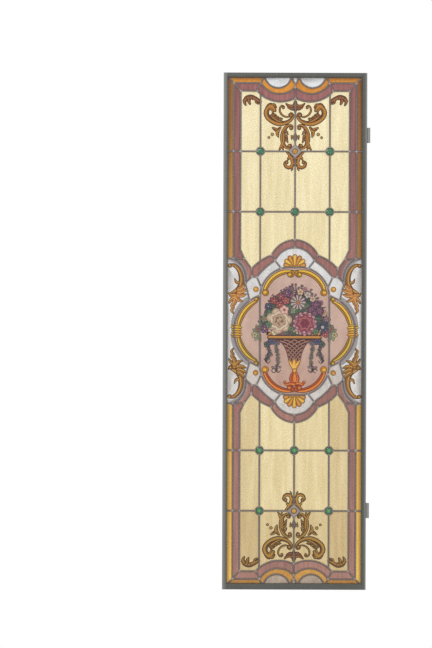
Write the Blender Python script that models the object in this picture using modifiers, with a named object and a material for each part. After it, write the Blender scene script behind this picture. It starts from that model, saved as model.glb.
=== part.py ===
"""Leaded stained glass window: a tall steel casement sash, hinged on its right-hand side.

A welded steel U-section frame holds one leaded light. The light is a lattice of H-section lead cames
with a pane of coloured glass in every mesh: a cream field divided into four columns, an amber and a
purple border, swags at both ends and a lobed medallion in the middle. Two hinge barrels stand on the
right stile. +X is right, -Y faces the viewer and +Z is up. The origin is on the hinge axis, at the
underside of the lower barrel. Lengths are in metres.
"""

import math

import bmesh
import bpy
from mathutils import Matrix, Vector

# Sash and its welded frame
SASH_WIDTH = 0.500
SASH_HEIGHT = 1.800
FRAME_DEPTH = 0.022
FRAME_FACE = 0.016
BOTTOM_RAIL_FACE = 0.020
FRAME_WEB = 0.008
FRAME_EDGE = 0.0015
FRAME_SLOPE = 0.005
FRAME_SLOPE_DEPTH = 0.004
GLAZING_PLAY = 0.00035
GLAZING_END_PLAY = 0.0012

# Hinge barrels
BARREL_RADIUS = 0.0055
BARREL_LENGTH = 0.052
BARREL_BORE_RADIUS = 0.0031
BARREL_BORE_DEPTH = 0.042
LEAF_THICKNESS = 0.0025
LEAF_WIDTH = 0.0125
LOWER_HINGE_UP = 0.250
UPPER_HINGE_DOWN = 0.243
HINGE_GAP = 0.0003
BARREL_SIDES = 16

# Lead cames and glass
CAME_FLANGE = 0.005
CAME_DEPTH = 0.0055
CAME_HEART = 0.0016
FLANGE_THICKNESS = 0.00095
GLASS_THICKNESS = 0.003
GLASS_GAP = 0.0003

# Borders, measured between came centre lines inwards from the outside of the sash
AMBER_SIDE = 0.0355
PURPLE_SIDE = 0.0245
AMBER_END = 0.035
PURPLE_END = 0.0275
OUTER_COLUMN = 0.069

# Swags at the two ends
SWAG_TO_COLUMN = 0.014
SWAG_TO_MIDDLE = 0.013
LUNETTE_RAISE = 0.005
CRESCENT_WIDTH = 0.0205
PURPLE_SWAG_WIDTH = 0.0275
CRESCENT_NECK = 0.0145
SWAG_NECK = 0.0385
DIAGONAL_REACH = 0.0115
DIAGONAL_LEAN = 0.025
MIDDLE_PIECE_DROP = 0.024
MIDDLE_PIECE_FOOT = 0.005

# Medallion
MEDALLION_HALF_HEIGHT = 0.3185
ROW_ABOVE_MEDALLION = 0.0975
LOBE_TO_FRAME = 0.023

# Jewels at the crossings
GREEN_RING_RADIUS = 0.013
AMBER_RING_RADIUS = 0.0105
AMBER_DIAMOND = 0.022
JEWEL_DOME = 0.0016
JEWEL_SIDES = 8

# What follows from those sizes
HALF_WIDTH = SASH_WIDTH / 2
HALF_HEIGHT = SASH_HEIGHT / 2
HINGE_AXIS = Vector((HALF_WIDTH + HINGE_GAP + BARREL_RADIUS, BARREL_RADIUS - FRAME_DEPTH / 2, 0))
LOWER_SEAT = LOWER_HINGE_UP - HALF_HEIGHT
UPPER_SEAT = HALF_HEIGHT - UPPER_HINGE_DOWN
PANEL_CENTRE = Vector((-HINGE_AXIS.x, -HINGE_AXIS.y, -LOWER_SEAT))

LIGHT_X = HALF_WIDTH - FRAME_WEB - GLAZING_END_PLAY - CAME_HEART / 2
LIGHT_Z = HALF_HEIGHT - FRAME_WEB - GLAZING_END_PLAY - CAME_HEART / 2
AMBER_X = HALF_WIDTH - AMBER_SIDE
PURPLE_X = AMBER_X - PURPLE_SIDE
COLUMN_X = PURPLE_X - OUTER_COLUMN
AMBER_Z = HALF_HEIGHT - AMBER_END
PURPLE_Z = AMBER_Z - PURPLE_END
LOWER_ROW_Z = MEDALLION_HALF_HEIGHT + ROW_ABOVE_MEDALLION
UPPER_ROW_Z = (LOWER_ROW_Z + PURPLE_Z) / 2

LUNETTE_RADIUS = (COLUMN_X - SWAG_TO_COLUMN - SWAG_TO_MIDDLE) / 2
SWAG_X = SWAG_TO_MIDDLE + LUNETTE_RADIUS
LUNETTE_LOW = LIGHT_Z + LUNETTE_RAISE - LUNETTE_RADIUS
CRESCENT_LOW = LUNETTE_LOW - CRESCENT_WIDTH
LUNETTE_HALF_CHORD = math.sqrt(LUNETTE_RADIUS ** 2 - LUNETTE_RAISE ** 2)
MIDDLE_PIECE_Z = LIGHT_Z - MIDDLE_PIECE_DROP


# Plane geometry on came centre lines, as (x, z) points

def circle_through(a, b, c):
    """Centre and radius of the circle through three points."""
    ax, az = a[0] - c[0], a[1] - c[1]
    bx, bz = b[0] - c[0], b[1] - c[1]
    double_area = 2 * (ax * bz - az * bx)
    a_square = ax * ax + az * az
    b_square = bx * bx + bz * bz
    x = (bz * a_square - az * b_square) / double_area
    z = (ax * b_square - bx * a_square) / double_area
    return (c[0] + x, c[1] + z), math.hypot(x, z)


def arc(start, through, end, steps):
    """Points of the circular arc from start to end that passes through the third point."""
    centre, radius = circle_through(start, through, end)
    angles = [math.atan2(p[1] - centre[1], p[0] - centre[0]) for p in (start, through, end)]
    turn = 2 * math.pi
    sweep = (angles[2] - angles[0]) % turn
    if (angles[1] - angles[0]) % turn > sweep:
        sweep -= turn
    points = []
    for step in range(steps + 1):
        angle = angles[0] + sweep * step / steps
        points.append((centre[0] + radius * math.cos(angle), centre[1] + radius * math.sin(angle)))
    return points


def bowl(centre, radius, start_degrees, end_degrees, steps):
    """Points of an arc around a centre, by angles in degrees."""
    points = []
    for step in range(steps + 1):
        angle = math.radians(start_degrees + (end_degrees - start_degrees) * step / steps)
        points.append((centre[0] + radius * math.cos(angle), centre[1] + radius * math.sin(angle)))
    return points


def at_column(points):
    """Splits a run of points where it crosses the column came, giving (outer part, inner part)."""
    for index in range(len(points) - 1):
        (ax, az), (bx, bz) = points[index], points[index + 1]
        if ax >= COLUMN_X > bx:
            share = (ax - COLUMN_X) / (ax - bx)
            crossing = (COLUMN_X, az + share * (bz - az))
            return points[: index + 1] + [crossing], [crossing] + points[index + 1:]
    return points, points[-1:]


def signed_area(points):
    """Area of a closed outline, positive when it runs anticlockwise."""
    pairs = zip(points, points[1:] + points[:1])
    return sum(a[0] * b[1] - b[0] * a[1] for a, b in pairs) / 2


def inset(points, distance):
    """Moves every side of a closed outline inwards by the distance, with mitred corners."""
    if signed_area(points) < 0:
        points = points[::-1]
    moved = []
    for before, here, after in zip(points[-1:] + points[:-1], points, points[1:] + points[:1]):
        first = (Vector(here) - Vector(before)).normalized()
        second = (Vector(after) - Vector(here)).normalized()
        first_normal = Vector((-first.y, first.x))
        second_normal = Vector((-second.y, second.x))
        mitre = (first_normal + second_normal) / (1 + first_normal.dot(second_normal))
        moved.append((here[0] + mitre.x * distance, here[1] + mitre.y * distance))
    return moved


def mirrored(points, across, up):
    """An outline turned into another quadrant, by signs for x and z."""
    return [(x * across, z * up) for x, z in points]


def across_column(share):
    """A place between the column came and the purple border's inner came."""
    return COLUMN_X + share * OUTER_COLUMN


def rise(share):
    """A height in the medallion, as a share of its half height."""
    return MEDALLION_HALF_HEIGHT * share


def cut_corner(corner, toward_x, toward_z, leg):
    """The two points that replace a pane's corner beside a jewel, from the x side to the z side."""
    return [(corner[0] + toward_x * leg, corner[1]), (corner[0], corner[1] + toward_z * leg)]


# Came lines of the upper right quadrant

DIAGONAL_FOOT = (COLUMN_X + DIAGONAL_REACH, PURPLE_Z)
DIAGONAL_SLOPE = DIAGONAL_LEAN / (LIGHT_Z - PURPLE_Z)
DIAGONAL_AT_AMBER = (DIAGONAL_FOOT[0] - DIAGONAL_SLOPE * PURPLE_END, AMBER_Z)
SWAG_LOW = (SWAG_X, CRESCENT_LOW - PURPLE_SWAG_WIDTH)
CRESCENT_END = (0, MIDDLE_PIECE_Z - CRESCENT_NECK)
SWAG_END = (0, CRESCENT_END[1] - SWAG_NECK)
LUNETTE_END = (SWAG_X + LUNETTE_HALF_CHORD, LIGHT_Z)
LUNETTE_START = (SWAG_X - LUNETTE_HALF_CHORD, LIGHT_Z)
MIDDLE_CORNER = (MIDDLE_PIECE_FOOT, MIDDLE_PIECE_Z)

SHOULDER = (PURPLE_X, rise(0.89))
BEND = (across_column(0.79), rise(0.79))
VALLEY = (across_column(0.43), rise(0.68))
HAUNCH_FOOT = (across_column(0.75), rise(0.525))
VALLEY_FOOT = (across_column(0.40), rise(0.595))
WHITE_CORNER = (across_column(0.16), rise(0.59))
JOINT_OUT = (COLUMN_X * 0.67, rise(0.83))
JOINT_IN = (COLUMN_X * 0.565, rise(0.772))
APEX_OUT = (0, rise(1.0))
APEX_IN = (0, rise(0.915))
OVAL_TOP = (0, rise(0.695))
LOBE_TOP = (COLUMN_X, rise(0.39))
LOBE_SIDE = (HALF_WIDTH - FRAME_FACE - LOBE_TO_FRAME, 0)

SWAG_ARC = arc(DIAGONAL_FOOT, SWAG_LOW, SWAG_END, 5)
CRESCENT_ARC = arc(DIAGONAL_AT_AMBER, (SWAG_X, CRESCENT_LOW), CRESCENT_END, 5)
LUNETTE_ARC = arc(LUNETTE_END, (SWAG_X, LUNETTE_LOW), LUNETTE_START, 6)
SIDE_ARCH_OUT = arc(VALLEY, (across_column(-0.04), rise(0.772)), JOINT_OUT, 2)
SIDE_ARCH_IN = arc(WHITE_CORNER, (COLUMN_X * 0.845, rise(0.694)), JOINT_IN, 2)
APEX_ARCH_OUT = arc(JOINT_OUT, (COLUMN_X * 0.413, rise(0.948)), APEX_OUT, 3)
APEX_ARCH_IN = arc(JOINT_IN, (COLUMN_X * 0.347, rise(0.873)), APEX_IN, 3)
HAUNCH_ARC = arc((AMBER_X, rise(0.79)), (across_column(0.90), rise(0.71)), HAUNCH_FOOT, 3)
OVAL_ARC = arc(LOBE_TOP, (COLUMN_X * 0.845, rise(0.56)), OVAL_TOP, 4)
LOBE_ARC = arc(LOBE_TOP, LOBE_SIDE, (LOBE_TOP[0], -LOBE_TOP[1]), 8)
LOBE_SPLIT = LOBE_ARC[1]


def cream_outlines():
    """The six cream panes of the upper right quadrant, by name."""
    green = GREEN_RING_RADIUS * math.sqrt(2)
    swag_outer, swag_inner = at_column(SWAG_ARC)
    arch_outer, arch_inner = at_column(SIDE_ARCH_OUT)
    upper_column, lower_column = (COLUMN_X, UPPER_ROW_Z), (COLUMN_X, LOWER_ROW_Z)
    upper_middle, lower_middle = (0, UPPER_ROW_Z), (0, LOWER_ROW_Z)
    return {
        "end_outer": [(PURPLE_X, UPPER_ROW_Z), (PURPLE_X, PURPLE_Z)]
        + swag_outer
        + cut_corner(upper_column, 1, 1, green)[::-1],
        "end_inner": cut_corner(upper_middle, 1, 1, AMBER_DIAMOND)
        + swag_inner[::-1]
        + cut_corner(upper_column, -1, 1, green)[::-1],
        "middle_outer": [(PURPLE_X, LOWER_ROW_Z), (PURPLE_X, UPPER_ROW_Z)]
        + cut_corner(upper_column, 1, -1, green)
        + cut_corner(lower_column, 1, 1, green)[::-1],
        "middle_inner": cut_corner(lower_middle, 1, 1, green)
        + cut_corner(upper_middle, 1, -1, AMBER_DIAMOND)[::-1]
        + cut_corner(upper_column, -1, -1, green)
        + cut_corner(lower_column, -1, 1, green)[::-1],
        "medallion_outer": [SHOULDER, (PURPLE_X, LOWER_ROW_Z)]
        + cut_corner(lower_column, 1, -1, green)
        + arch_outer[::-1]
        + [BEND],
        "medallion_inner": cut_corner(lower_middle, 1, -1, green)[::-1]
        + cut_corner(lower_column, -1, -1, green)
        + arch_inner
        + APEX_ARCH_OUT[1:],
    }


def purple_tiles():
    """Right-hand lengths of the purple border: along the swag, down the side, over the medallion."""
    swag = SWAG_ARC + CRESCENT_ARC[::-1] + [(AMBER_X, AMBER_Z), (PURPLE_X, PURPLE_Z)]
    side = [(PURPLE_X, PURPLE_Z), (AMBER_X, AMBER_Z)] + HAUNCH_ARC
    side += [VALLEY_FOOT, VALLEY, BEND, SHOULDER]
    arch = SIDE_ARCH_OUT + APEX_ARCH_OUT[1:] + APEX_ARCH_IN[::-1] + SIDE_ARCH_IN[-2::-1]
    arch += [VALLEY_FOOT]
    return [swag, side, arch]


def both_sides(half):
    """Closes a half outline, which starts and ends on the middle line, with its mirror image."""
    return half + mirrored(half, -1, 1)[-2:0:-1]


def purple_ring():
    """Outer and inner outline of the whole purple border round one cream field."""
    outside = CRESCENT_ARC[::-1] + [(AMBER_X, AMBER_Z)]
    outside += HAUNCH_ARC + [VALLEY_FOOT] + SIDE_ARCH_IN + APEX_ARCH_IN[1:]
    inside = SWAG_ARC[::-1] + [(PURPLE_X, PURPLE_Z), SHOULDER, BEND] + SIDE_ARCH_OUT
    inside += APEX_ARCH_OUT[1:]
    return both_sides(outside), both_sides(inside)


def amber_run():
    """The amber border on one side: up the stile, along the end and round the lunette."""
    return (
        [(AMBER_X, rise(0.79)), (LIGHT_X, rise(0.79)), (LIGHT_X, LIGHT_Z)]
        + LUNETTE_ARC
        + [MIDDLE_CORNER, (0, MIDDLE_PIECE_Z)]
        + CRESCENT_ARC[::-1]
        + [(AMBER_X, AMBER_Z)]
    )


def white_band():
    """The white band between the purple arches and the medallion, both sides in one."""
    half = APEX_ARCH_IN[::-1] + SIDE_ARCH_IN[-2::-1] + [VALLEY_FOOT, HAUNCH_FOOT]
    half += [LOBE_SPLIT] + OVAL_ARC
    return both_sides(half)


def side_pane():
    """The white pane with rocaille ornament between a lobe, a stile and the two borders."""
    upper = [(LIGHT_X, rise(0.79))] + HAUNCH_ARC
    lower = mirrored(upper, 1, -1)
    return upper + LOBE_ARC[1:-1] + lower[::-1]


def centre_pane():
    """The tall middle pane of the medallion."""
    upper = OVAL_ARC + mirrored(OVAL_ARC, -1, 1)[-2::-1]
    return upper + mirrored(upper, 1, -1)[::-1]


def jewel_places():
    """Each jewel's name, crossing and ring radius."""
    places = []
    for end, up in (("upper", 1), ("lower", -1)):
        for side, across in (("left", -1), ("right", 1)):
            for row, z in (("end", UPPER_ROW_Z), ("middle", LOWER_ROW_Z)):
                name = f"green_jewel_{end}_{row}_{side}"
                places.append((name, (across * COLUMN_X, up * z), GREEN_RING_RADIUS))
        places.append((f"green_jewel_{end}_centre", (0, up * LOWER_ROW_Z), GREEN_RING_RADIUS))
        places.append((f"amber_jewel_{end}", (0, up * UPPER_ROW_Z), AMBER_RING_RADIUS))
    return places


def ring(centre, radius):
    """A jewel's outline, whose sides touch a circle of the radius, with a side on each diagonal."""
    half_side = 180 / JEWEL_SIDES
    corner_radius = radius / math.cos(math.radians(half_side))
    return bowl(centre, corner_radius, half_side, half_side + 360, JEWEL_SIDES)[:-1]


# Every glass node: its outlines on the came centre lines, and the openings in the lead over it

def glass_nodes():
    """Name, kind, outlines (outer first, then holes) and openings of every flat glass node."""
    nodes = []

    def add(name, kind, outline, hole=None, openings=None):
        outlines = [outline] + ([hole] if hole else [])
        nodes.append((name, kind, outlines, openings or [outline]))

    for end, up in (("upper", 1), ("lower", -1)):
        for side, across in (("left", -1), ("right", 1)):
            for place, outline in cream_outlines().items():
                name = f"cream_pane_{end}_{place}_{side}"
                add(name, "cream", mirrored(outline, across, up))
            add(f"amber_border_{end}_{side}", "amber", mirrored(amber_run(), across, up))
            add(f"lunette_{end}_{side}", "white", mirrored(LUNETTE_ARC, across, up))
        outside, inside = purple_ring()
        tiles = [mirrored(tile, across, up) for tile in purple_tiles() for across in (-1, 1)]
        add(f"purple_border_{end}", "purple", mirrored(outside, 1, up), mirrored(inside, 1, up), tiles)
        add(f"white_band_{end}", "white", mirrored(white_band(), 1, up))
        middle = mirrored([LUNETTE_START], -1, 1) + [LUNETTE_START, MIDDLE_CORNER]
        middle += mirrored([MIDDLE_CORNER], -1, 1)
        add(f"end_middle_piece_{end}", "white", mirrored(middle, 1, up))
    for side, across in (("left", -1), ("right", 1)):
        add(f"medallion_lobe_{side}", "painted", mirrored(LOBE_ARC, across, 1))
        add(f"rocaille_pane_{side}", "white", mirrored(side_pane(), across, 1))
    add("medallion_centre", "painted", centre_pane())
    return nodes


# Objects

def clear_scene():
    for existing in list(bpy.data.objects):
        bpy.data.objects.remove(existing)


def collection(name):
    made = bpy.data.collections.new(name)
    bpy.context.scene.collection.children.link(made)
    return made


def material(name, colour, roughness, metallic=0.0, transmission=0.0):
    made = bpy.data.materials.new(name)
    made.use_nodes = True
    shader = made.node_tree.nodes["Principled BSDF"]
    shader.inputs["Base Color"].default_value = (*colour, 1.0)
    shader.inputs["Roughness"].default_value = roughness
    shader.inputs["Metallic"].default_value = metallic
    shader.inputs["Transmission Weight"].default_value = transmission
    made.diffuse_color = (*colour, 1.0)
    return made


def place(name, data, finish, parts, panel):
    """An object on the panel's centre."""
    made = bpy.data.objects.new(name, data)
    made.data.materials.append(finish)
    made.parent = panel
    parts.objects.link(made)
    return made


def loop(mesh, points, depth):
    """A closed ring of vertices and edges at one depth."""
    corners = [mesh.verts.new((x, depth, z)) for x, z in points]
    edges = [mesh.edges.new(pair) for pair in zip(corners, corners[1:] + corners[:1])]
    return corners, edges


def bridge(mesh, near, far):
    """A band of four-sided faces between two rings of as many corners."""
    for index in range(len(near)):
        mesh.faces.new((near[index - 1], near[index], far[index], far[index - 1]))


def wall(mesh, points, near, far):
    """A band of faces round an outline between two depths; returns the edges at each depth."""
    near_corners, near_edges = loop(mesh, points, near)
    far_corners, far_edges = loop(mesh, points, far)
    bridge(mesh, near_corners, far_corners)
    return near_edges, far_edges


def lattice_mesh(openings):
    """The soldered cames: flanges in front and behind with an opening over each tile, and a
    groove between them that is as wide as the glass node, on either side of the heart."""
    front, back = -CAME_DEPTH / 2, CAME_DEPTH / 2
    front_lip, back_lip = front + FLANGE_THICKNESS, back - FLANGE_THICKNESS
    edge_x, edge_z = LIGHT_X + CAME_HEART / 2, LIGHT_Z + CAME_HEART / 2
    outside = [(-edge_x, -edge_z), (edge_x, -edge_z), (edge_x, edge_z), (-edge_x, edge_z)]
    mesh = bmesh.new()
    front_edges, back_edges = wall(mesh, outside, front, back)
    for outlines, tiles in openings:
        if len(tiles) == 1:
            opening = inset(tiles[0], CAME_FLANGE / 2)
            groove = inset(tiles[0], CAME_HEART / 2)
            steps = [(opening, front), (opening, front_lip), (groove, front_lip)]
            steps += [(groove, back_lip), (opening, back_lip), (opening, back)]
            rings = [loop(mesh, points, depth) for points, depth in steps]
            for (near, _), (far, _) in zip(rings, rings[1:]):
                bridge(mesh, near, far)
            front_edges += rings[0][1]
            back_edges += rings[-1][1]
            continue
        groove_front, groove_back = [], []
        for number, outline in enumerate(outlines):
            side = 1 if number == 0 else -1
            near, far = wall(mesh, inset(outline, side * CAME_HEART / 2), front_lip, back_lip)
            groove_front += near
            groove_back += far
        for tile in tiles:
            opening = inset(tile, CAME_FLANGE / 2)
            near, far = wall(mesh, opening, front, front_lip)
            front_edges += near
            groove_front += far
            near, far = wall(mesh, opening, back_lip, back)
            groove_back += near
            back_edges += far
        bmesh.ops.triangle_fill(mesh, use_beauty=True, edges=groove_front)
        bmesh.ops.triangle_fill(mesh, use_beauty=True, edges=groove_back)
    bmesh.ops.triangle_fill(mesh, use_beauty=True, edges=front_edges)
    bmesh.ops.triangle_fill(mesh, use_beauty=True, edges=back_edges)
    bmesh.ops.recalc_face_normals(mesh, faces=mesh.faces)
    data = bpy.data.meshes.new("came lattice")
    mesh.to_mesh(data)
    mesh.free()
    return data


def pane_curve(name, outlines):
    """A flat pane of sheet glass, cut to fit the groove of the cames round it."""
    curve = bpy.data.curves.new(name, "CURVE")
    curve.dimensions = "2D"
    curve.fill_mode = "BOTH"
    curve.extrude = GLASS_THICKNESS / 2
    cut_back = CAME_HEART / 2 + GLASS_GAP
    for number, outline in enumerate(outlines):
        side = 1 if number == 0 else -1
        spline = curve.splines.new("POLY")
        points = inset(outline, side * cut_back)
        spline.points.add(len(points) - 1)
        for point, (x, z) in zip(spline.points, points):
            point.co = (x, z, 0, 1)
        spline.use_cyclic_u = True
    return curve


def jewel_mesh(ring_radius):
    """Profile of a domed pressed-glass jewel, from its rim to the axis, to be turned about -Y."""
    radius = (ring_radius - CAME_HEART / 2 - GLASS_GAP) / math.cos(math.pi / JEWEL_SIDES)
    half = GLASS_THICKNESS / 2
    dome_radius = radius - CAME_FLANGE / 2
    profile = [(0, half + JEWEL_DOME), (dome_radius * 0.6, half + JEWEL_DOME * 0.8)]
    profile += [(dome_radius, half), (radius, half), (radius, -half), (0, -half)]
    turn = math.radians(180 / JEWEL_SIDES)
    data = bpy.data.meshes.new("jewel profile")
    corners = [(x * math.cos(turn), x * math.sin(turn), z) for x, z in profile]
    data.from_pydata(corners, [(i, i + 1) for i in range(len(corners) - 1)], [])
    return data


def add_jewel(name, centre, ring_radius, finish, parts, panel):
    jewel = place(name, jewel_mesh(ring_radius), finish, parts, panel)
    jewel.location = (centre[0], 0, centre[1])
    jewel.rotation_euler = (math.radians(90), 0, 0)
    turned = jewel.modifiers.new("turned", "SCREW")
    turned.steps = JEWEL_SIDES
    turned.render_steps = JEWEL_SIDES
    turned.use_merge_vertices = True
    turned.merge_threshold = 0.00001
    return jewel


def frame_mesh():
    """The welded frame: one section, mitred round the four corners. The bottom rail's face is
    wider than the others. The section opens inwards in a groove that clasps the light."""
    face = FRAME_DEPTH / 2
    slope_start = FRAME_FACE - FRAME_SLOPE
    slope_end = face - FRAME_SLOPE_DEPTH
    groove = CAME_DEPTH / 2 + GLAZING_PLAY
    front_half = [
        (0, -face + FRAME_EDGE),
        (FRAME_EDGE, -face),
        (slope_start, -face),
        (FRAME_FACE, -slope_end),
        (FRAME_FACE, -groove),
        (FRAME_WEB, -groove),
    ]
    section = front_half + [(inward, -depth) for inward, depth in reversed(front_half)]
    wider = BOTTOM_RAIL_FACE - FRAME_FACE
    mesh = bmesh.new()
    rings = []
    for inward, depth in section:
        x = HALF_WIDTH - inward
        top = HALF_HEIGHT - inward
        bottom = -HALF_HEIGHT + inward
        if inward > FRAME_WEB:
            bottom += wider
        corners = [(-x, bottom), (x, bottom), (x, top), (-x, top)]
        rings.append([mesh.verts.new((cx, depth, cz)) for cx, cz in corners])
    for near, far in zip(rings, rings[1:] + rings[:1]):
        for index in range(4):
            after = (index + 1) % 4
            mesh.faces.new((near[index], near[after], far[after], far[index]))
    bmesh.ops.recalc_face_normals(mesh, faces=mesh.faces)
    data = bpy.data.meshes.new("welded frame")
    mesh.to_mesh(data)
    mesh.free()
    return data


def cylinder_mesh(name, radius, bottom, top):
    mesh = bmesh.new()
    bmesh.ops.create_cone(
        mesh,
        cap_ends=True,
        segments=BARREL_SIDES,
        radius1=radius,
        radius2=radius,
        depth=top - bottom,
        matrix=Matrix.Translation((0, 0, (top + bottom) / 2)),
    )
    data = bpy.data.meshes.new(name)
    mesh.to_mesh(data)
    mesh.free()
    return data


def box_mesh(name, low, high):
    mesh = bmesh.new()
    size = Vector(high) - Vector(low)
    middle = (Vector(high) + Vector(low)) / 2
    bmesh.ops.create_cube(mesh, size=1, matrix=Matrix.Translation(middle) @ Matrix.Diagonal((*size, 1)))
    data = bpy.data.meshes.new(name)
    mesh.to_mesh(data)
    mesh.free()
    return data


def tool(name, data, target, operation, tools):
    """A hidden solid that is cut from the target or joined to it."""
    made = bpy.data.objects.new(name, data)
    made.hide_render = True
    made.display_type = "WIRE"
    made.parent = target
    tools.objects.link(made)
    step = target.modifiers.new(name, "BOOLEAN")
    step.operation = operation
    step.solver = "EXACT"
    step.object = made


def add_hinge(name, seat, finish, parts, tools, panel):
    """A lift-off hinge's upper half: a barrel with a blind bore for the pin, which opens
    downwards, and a leaf that lies on the stile's outer side and is welded there."""
    hinge = place(name, cylinder_mesh(name, BARREL_RADIUS, 0, BARREL_LENGTH), finish, parts, panel)
    hinge.location = (HINGE_AXIS.x, HINGE_AXIS.y, seat)
    inner = -BARREL_RADIUS
    leaf = box_mesh(f"{name}_leaf", (inner, 0, 0), (inner + LEAF_THICKNESS, LEAF_WIDTH, BARREL_LENGTH))
    tool(f"{name}_leaf", leaf, hinge, "UNION", tools)
    bore = cylinder_mesh(f"{name}_bore", BARREL_BORE_RADIUS, -BARREL_BORE_DEPTH, BARREL_BORE_DEPTH)
    tool(f"{name}_bore", bore, hinge, "DIFFERENCE", tools)
    rounded = hinge.modifiers.new("rounded ends", "BEVEL")
    rounded.width = BARREL_RADIUS / 8
    rounded.segments = 1
    rounded.limit_method = "ANGLE"
    rounded.angle_limit = math.radians(60)


def build():
    clear_scene()
    parts = collection("stained glass window")
    tools = collection("cutters")
    panel = bpy.data.objects.new("panel_centre", None)
    panel.location = PANEL_CENTRE
    parts.objects.link(panel)

    steel = material("grey painted steel", (0.16, 0.18, 0.17), 0.5, metallic=0.2)
    lead = material("lead came", (0.13, 0.12, 0.10), 0.45, metallic=0.8)
    finishes = {
        "cream": material("cream cathedral glass", (0.89, 0.78, 0.50), 0.3, transmission=0.8),
        "amber": material("amber glass", (0.72, 0.27, 0.03), 0.25, transmission=0.8),
        "purple": material("purple glass", (0.36, 0.14, 0.16), 0.25, transmission=0.8),
        "white": material("frosted white glass", (0.70, 0.72, 0.74), 0.35, transmission=0.8),
        "painted": material("painted pink glass", (0.62, 0.42, 0.38), 0.4, transmission=0.6),
        "green": material("green pressed glass", (0.04, 0.25, 0.09), 0.1, transmission=0.8),
        "amber jewel": material("amber pressed glass", (0.80, 0.40, 0.03), 0.1, transmission=0.8),
    }

    place("steel_frame", frame_mesh(), steel, parts, panel)
    add_hinge("hinge_barrel_lower", LOWER_SEAT, steel, parts, tools, panel)
    add_hinge("hinge_barrel_upper", UPPER_SEAT, steel, parts, tools, panel)

    openings = []
    for name, kind, outlines, tiles in glass_nodes():
        pane = place(name, pane_curve(name, outlines), finishes[kind], parts, panel)
        pane.rotation_euler = (math.radians(90), 0, 0)
        openings.append((outlines, tiles))
    for name, centre, ring_radius in jewel_places():
        finish = finishes["amber jewel" if name.startswith("amber") else "green"]
        add_jewel(name, centre, ring_radius, finish, parts, panel)
        outline = ring(centre, ring_radius)
        openings.append(([outline], [outline]))
    place("lead_came_lattice", lattice_mesh(openings), lead, parts, panel)


build()
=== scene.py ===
"""Looks of the leaded stained glass window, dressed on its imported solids.

Every pane is cut again along the came lines, with its fired paint as part of its surface. The
cames get round backs and soldered joints. Plane geometry is in millimetres from the middle of the
light, as (x, z) points with x to the right and z up, and the meshes are in metres.
"""

import math
import random

import bmesh
import bpy
import numpy as np
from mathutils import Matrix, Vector, noise
from mathutils.geometry import delaunay_2d_cdt


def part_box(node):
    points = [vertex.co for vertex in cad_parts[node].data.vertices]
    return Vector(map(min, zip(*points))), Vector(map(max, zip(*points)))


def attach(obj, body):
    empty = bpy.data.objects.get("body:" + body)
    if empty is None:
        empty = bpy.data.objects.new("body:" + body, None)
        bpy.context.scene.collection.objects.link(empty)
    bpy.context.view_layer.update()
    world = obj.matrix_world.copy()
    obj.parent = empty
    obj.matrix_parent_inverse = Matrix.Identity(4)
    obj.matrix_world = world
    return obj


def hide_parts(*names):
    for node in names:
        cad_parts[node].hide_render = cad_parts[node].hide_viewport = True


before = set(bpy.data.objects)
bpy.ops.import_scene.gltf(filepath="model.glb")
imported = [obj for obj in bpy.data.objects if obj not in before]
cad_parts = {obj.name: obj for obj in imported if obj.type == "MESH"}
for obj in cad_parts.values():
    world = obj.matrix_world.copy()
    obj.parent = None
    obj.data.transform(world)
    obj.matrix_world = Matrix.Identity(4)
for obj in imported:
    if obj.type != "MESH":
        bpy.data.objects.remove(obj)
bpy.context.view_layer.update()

MM = 0.001
SASH_LOW, SASH_HIGH = (Vector(corner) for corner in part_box("steel_frame"))
MIDDLE = (SASH_LOW + SASH_HIGH) / 2
HALF_WIDTH = (SASH_HIGH.x - SASH_LOW.x) / 2 / MM
HALF_HEIGHT = (SASH_HIGH.z - SASH_LOW.z) / 2 / MM

# Sizes of the frame, the lead and the glass, as in the solids
FRAME_FACE = 16
FRAME_WEB = 8
GLAZING_PLAY = 1.2
CAME_FLANGE = 5
CAME_HEART = 1.6
GLASS_THICKNESS = 3
GLASS_GAP = 0.3
AMBER_SIDE = 35.5
PURPLE_SIDE = 24.5
AMBER_END = 35
PURPLE_END = 27.5
OUTER_COLUMN = 69
SWAG_TO_COLUMN = 14
SWAG_TO_MIDDLE = 13
LUNETTE_RAISE = 5
CRESCENT_WIDTH = 20.5
PURPLE_SWAG_WIDTH = 27.5
CRESCENT_NECK = 14.5
SWAG_NECK = 38.5
DIAGONAL_REACH = 11.5
DIAGONAL_LEAN = 25
MIDDLE_PIECE_DROP = 24
MIDDLE_PIECE_FOOT = 5
MEDALLION_HALF_HEIGHT = 318.5
ROW_ABOVE_MEDALLION = 97.5
LOBE_TO_FRAME = 23
GREEN_RING_RADIUS = 13
AMBER_RING_RADIUS = 10.5
AMBER_DIAMOND = 22

# Came lines that follow from those sizes
LIGHT_X = HALF_WIDTH - FRAME_WEB - GLAZING_PLAY - CAME_HEART / 2
LIGHT_Z = HALF_HEIGHT - FRAME_WEB - GLAZING_PLAY - CAME_HEART / 2
AMBER_X = HALF_WIDTH - AMBER_SIDE
PURPLE_X = AMBER_X - PURPLE_SIDE
COLUMN_X = PURPLE_X - OUTER_COLUMN
AMBER_Z = HALF_HEIGHT - AMBER_END
PURPLE_Z = AMBER_Z - PURPLE_END
LOWER_ROW_Z = MEDALLION_HALF_HEIGHT + ROW_ABOVE_MEDALLION
UPPER_ROW_Z = (LOWER_ROW_Z + PURPLE_Z) / 2
LUNETTE_RADIUS = (COLUMN_X - SWAG_TO_COLUMN - SWAG_TO_MIDDLE) / 2
SWAG_X = SWAG_TO_MIDDLE + LUNETTE_RADIUS
LUNETTE_LOW = LIGHT_Z + LUNETTE_RAISE - LUNETTE_RADIUS
CRESCENT_LOW = LUNETTE_LOW - CRESCENT_WIDTH
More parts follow.
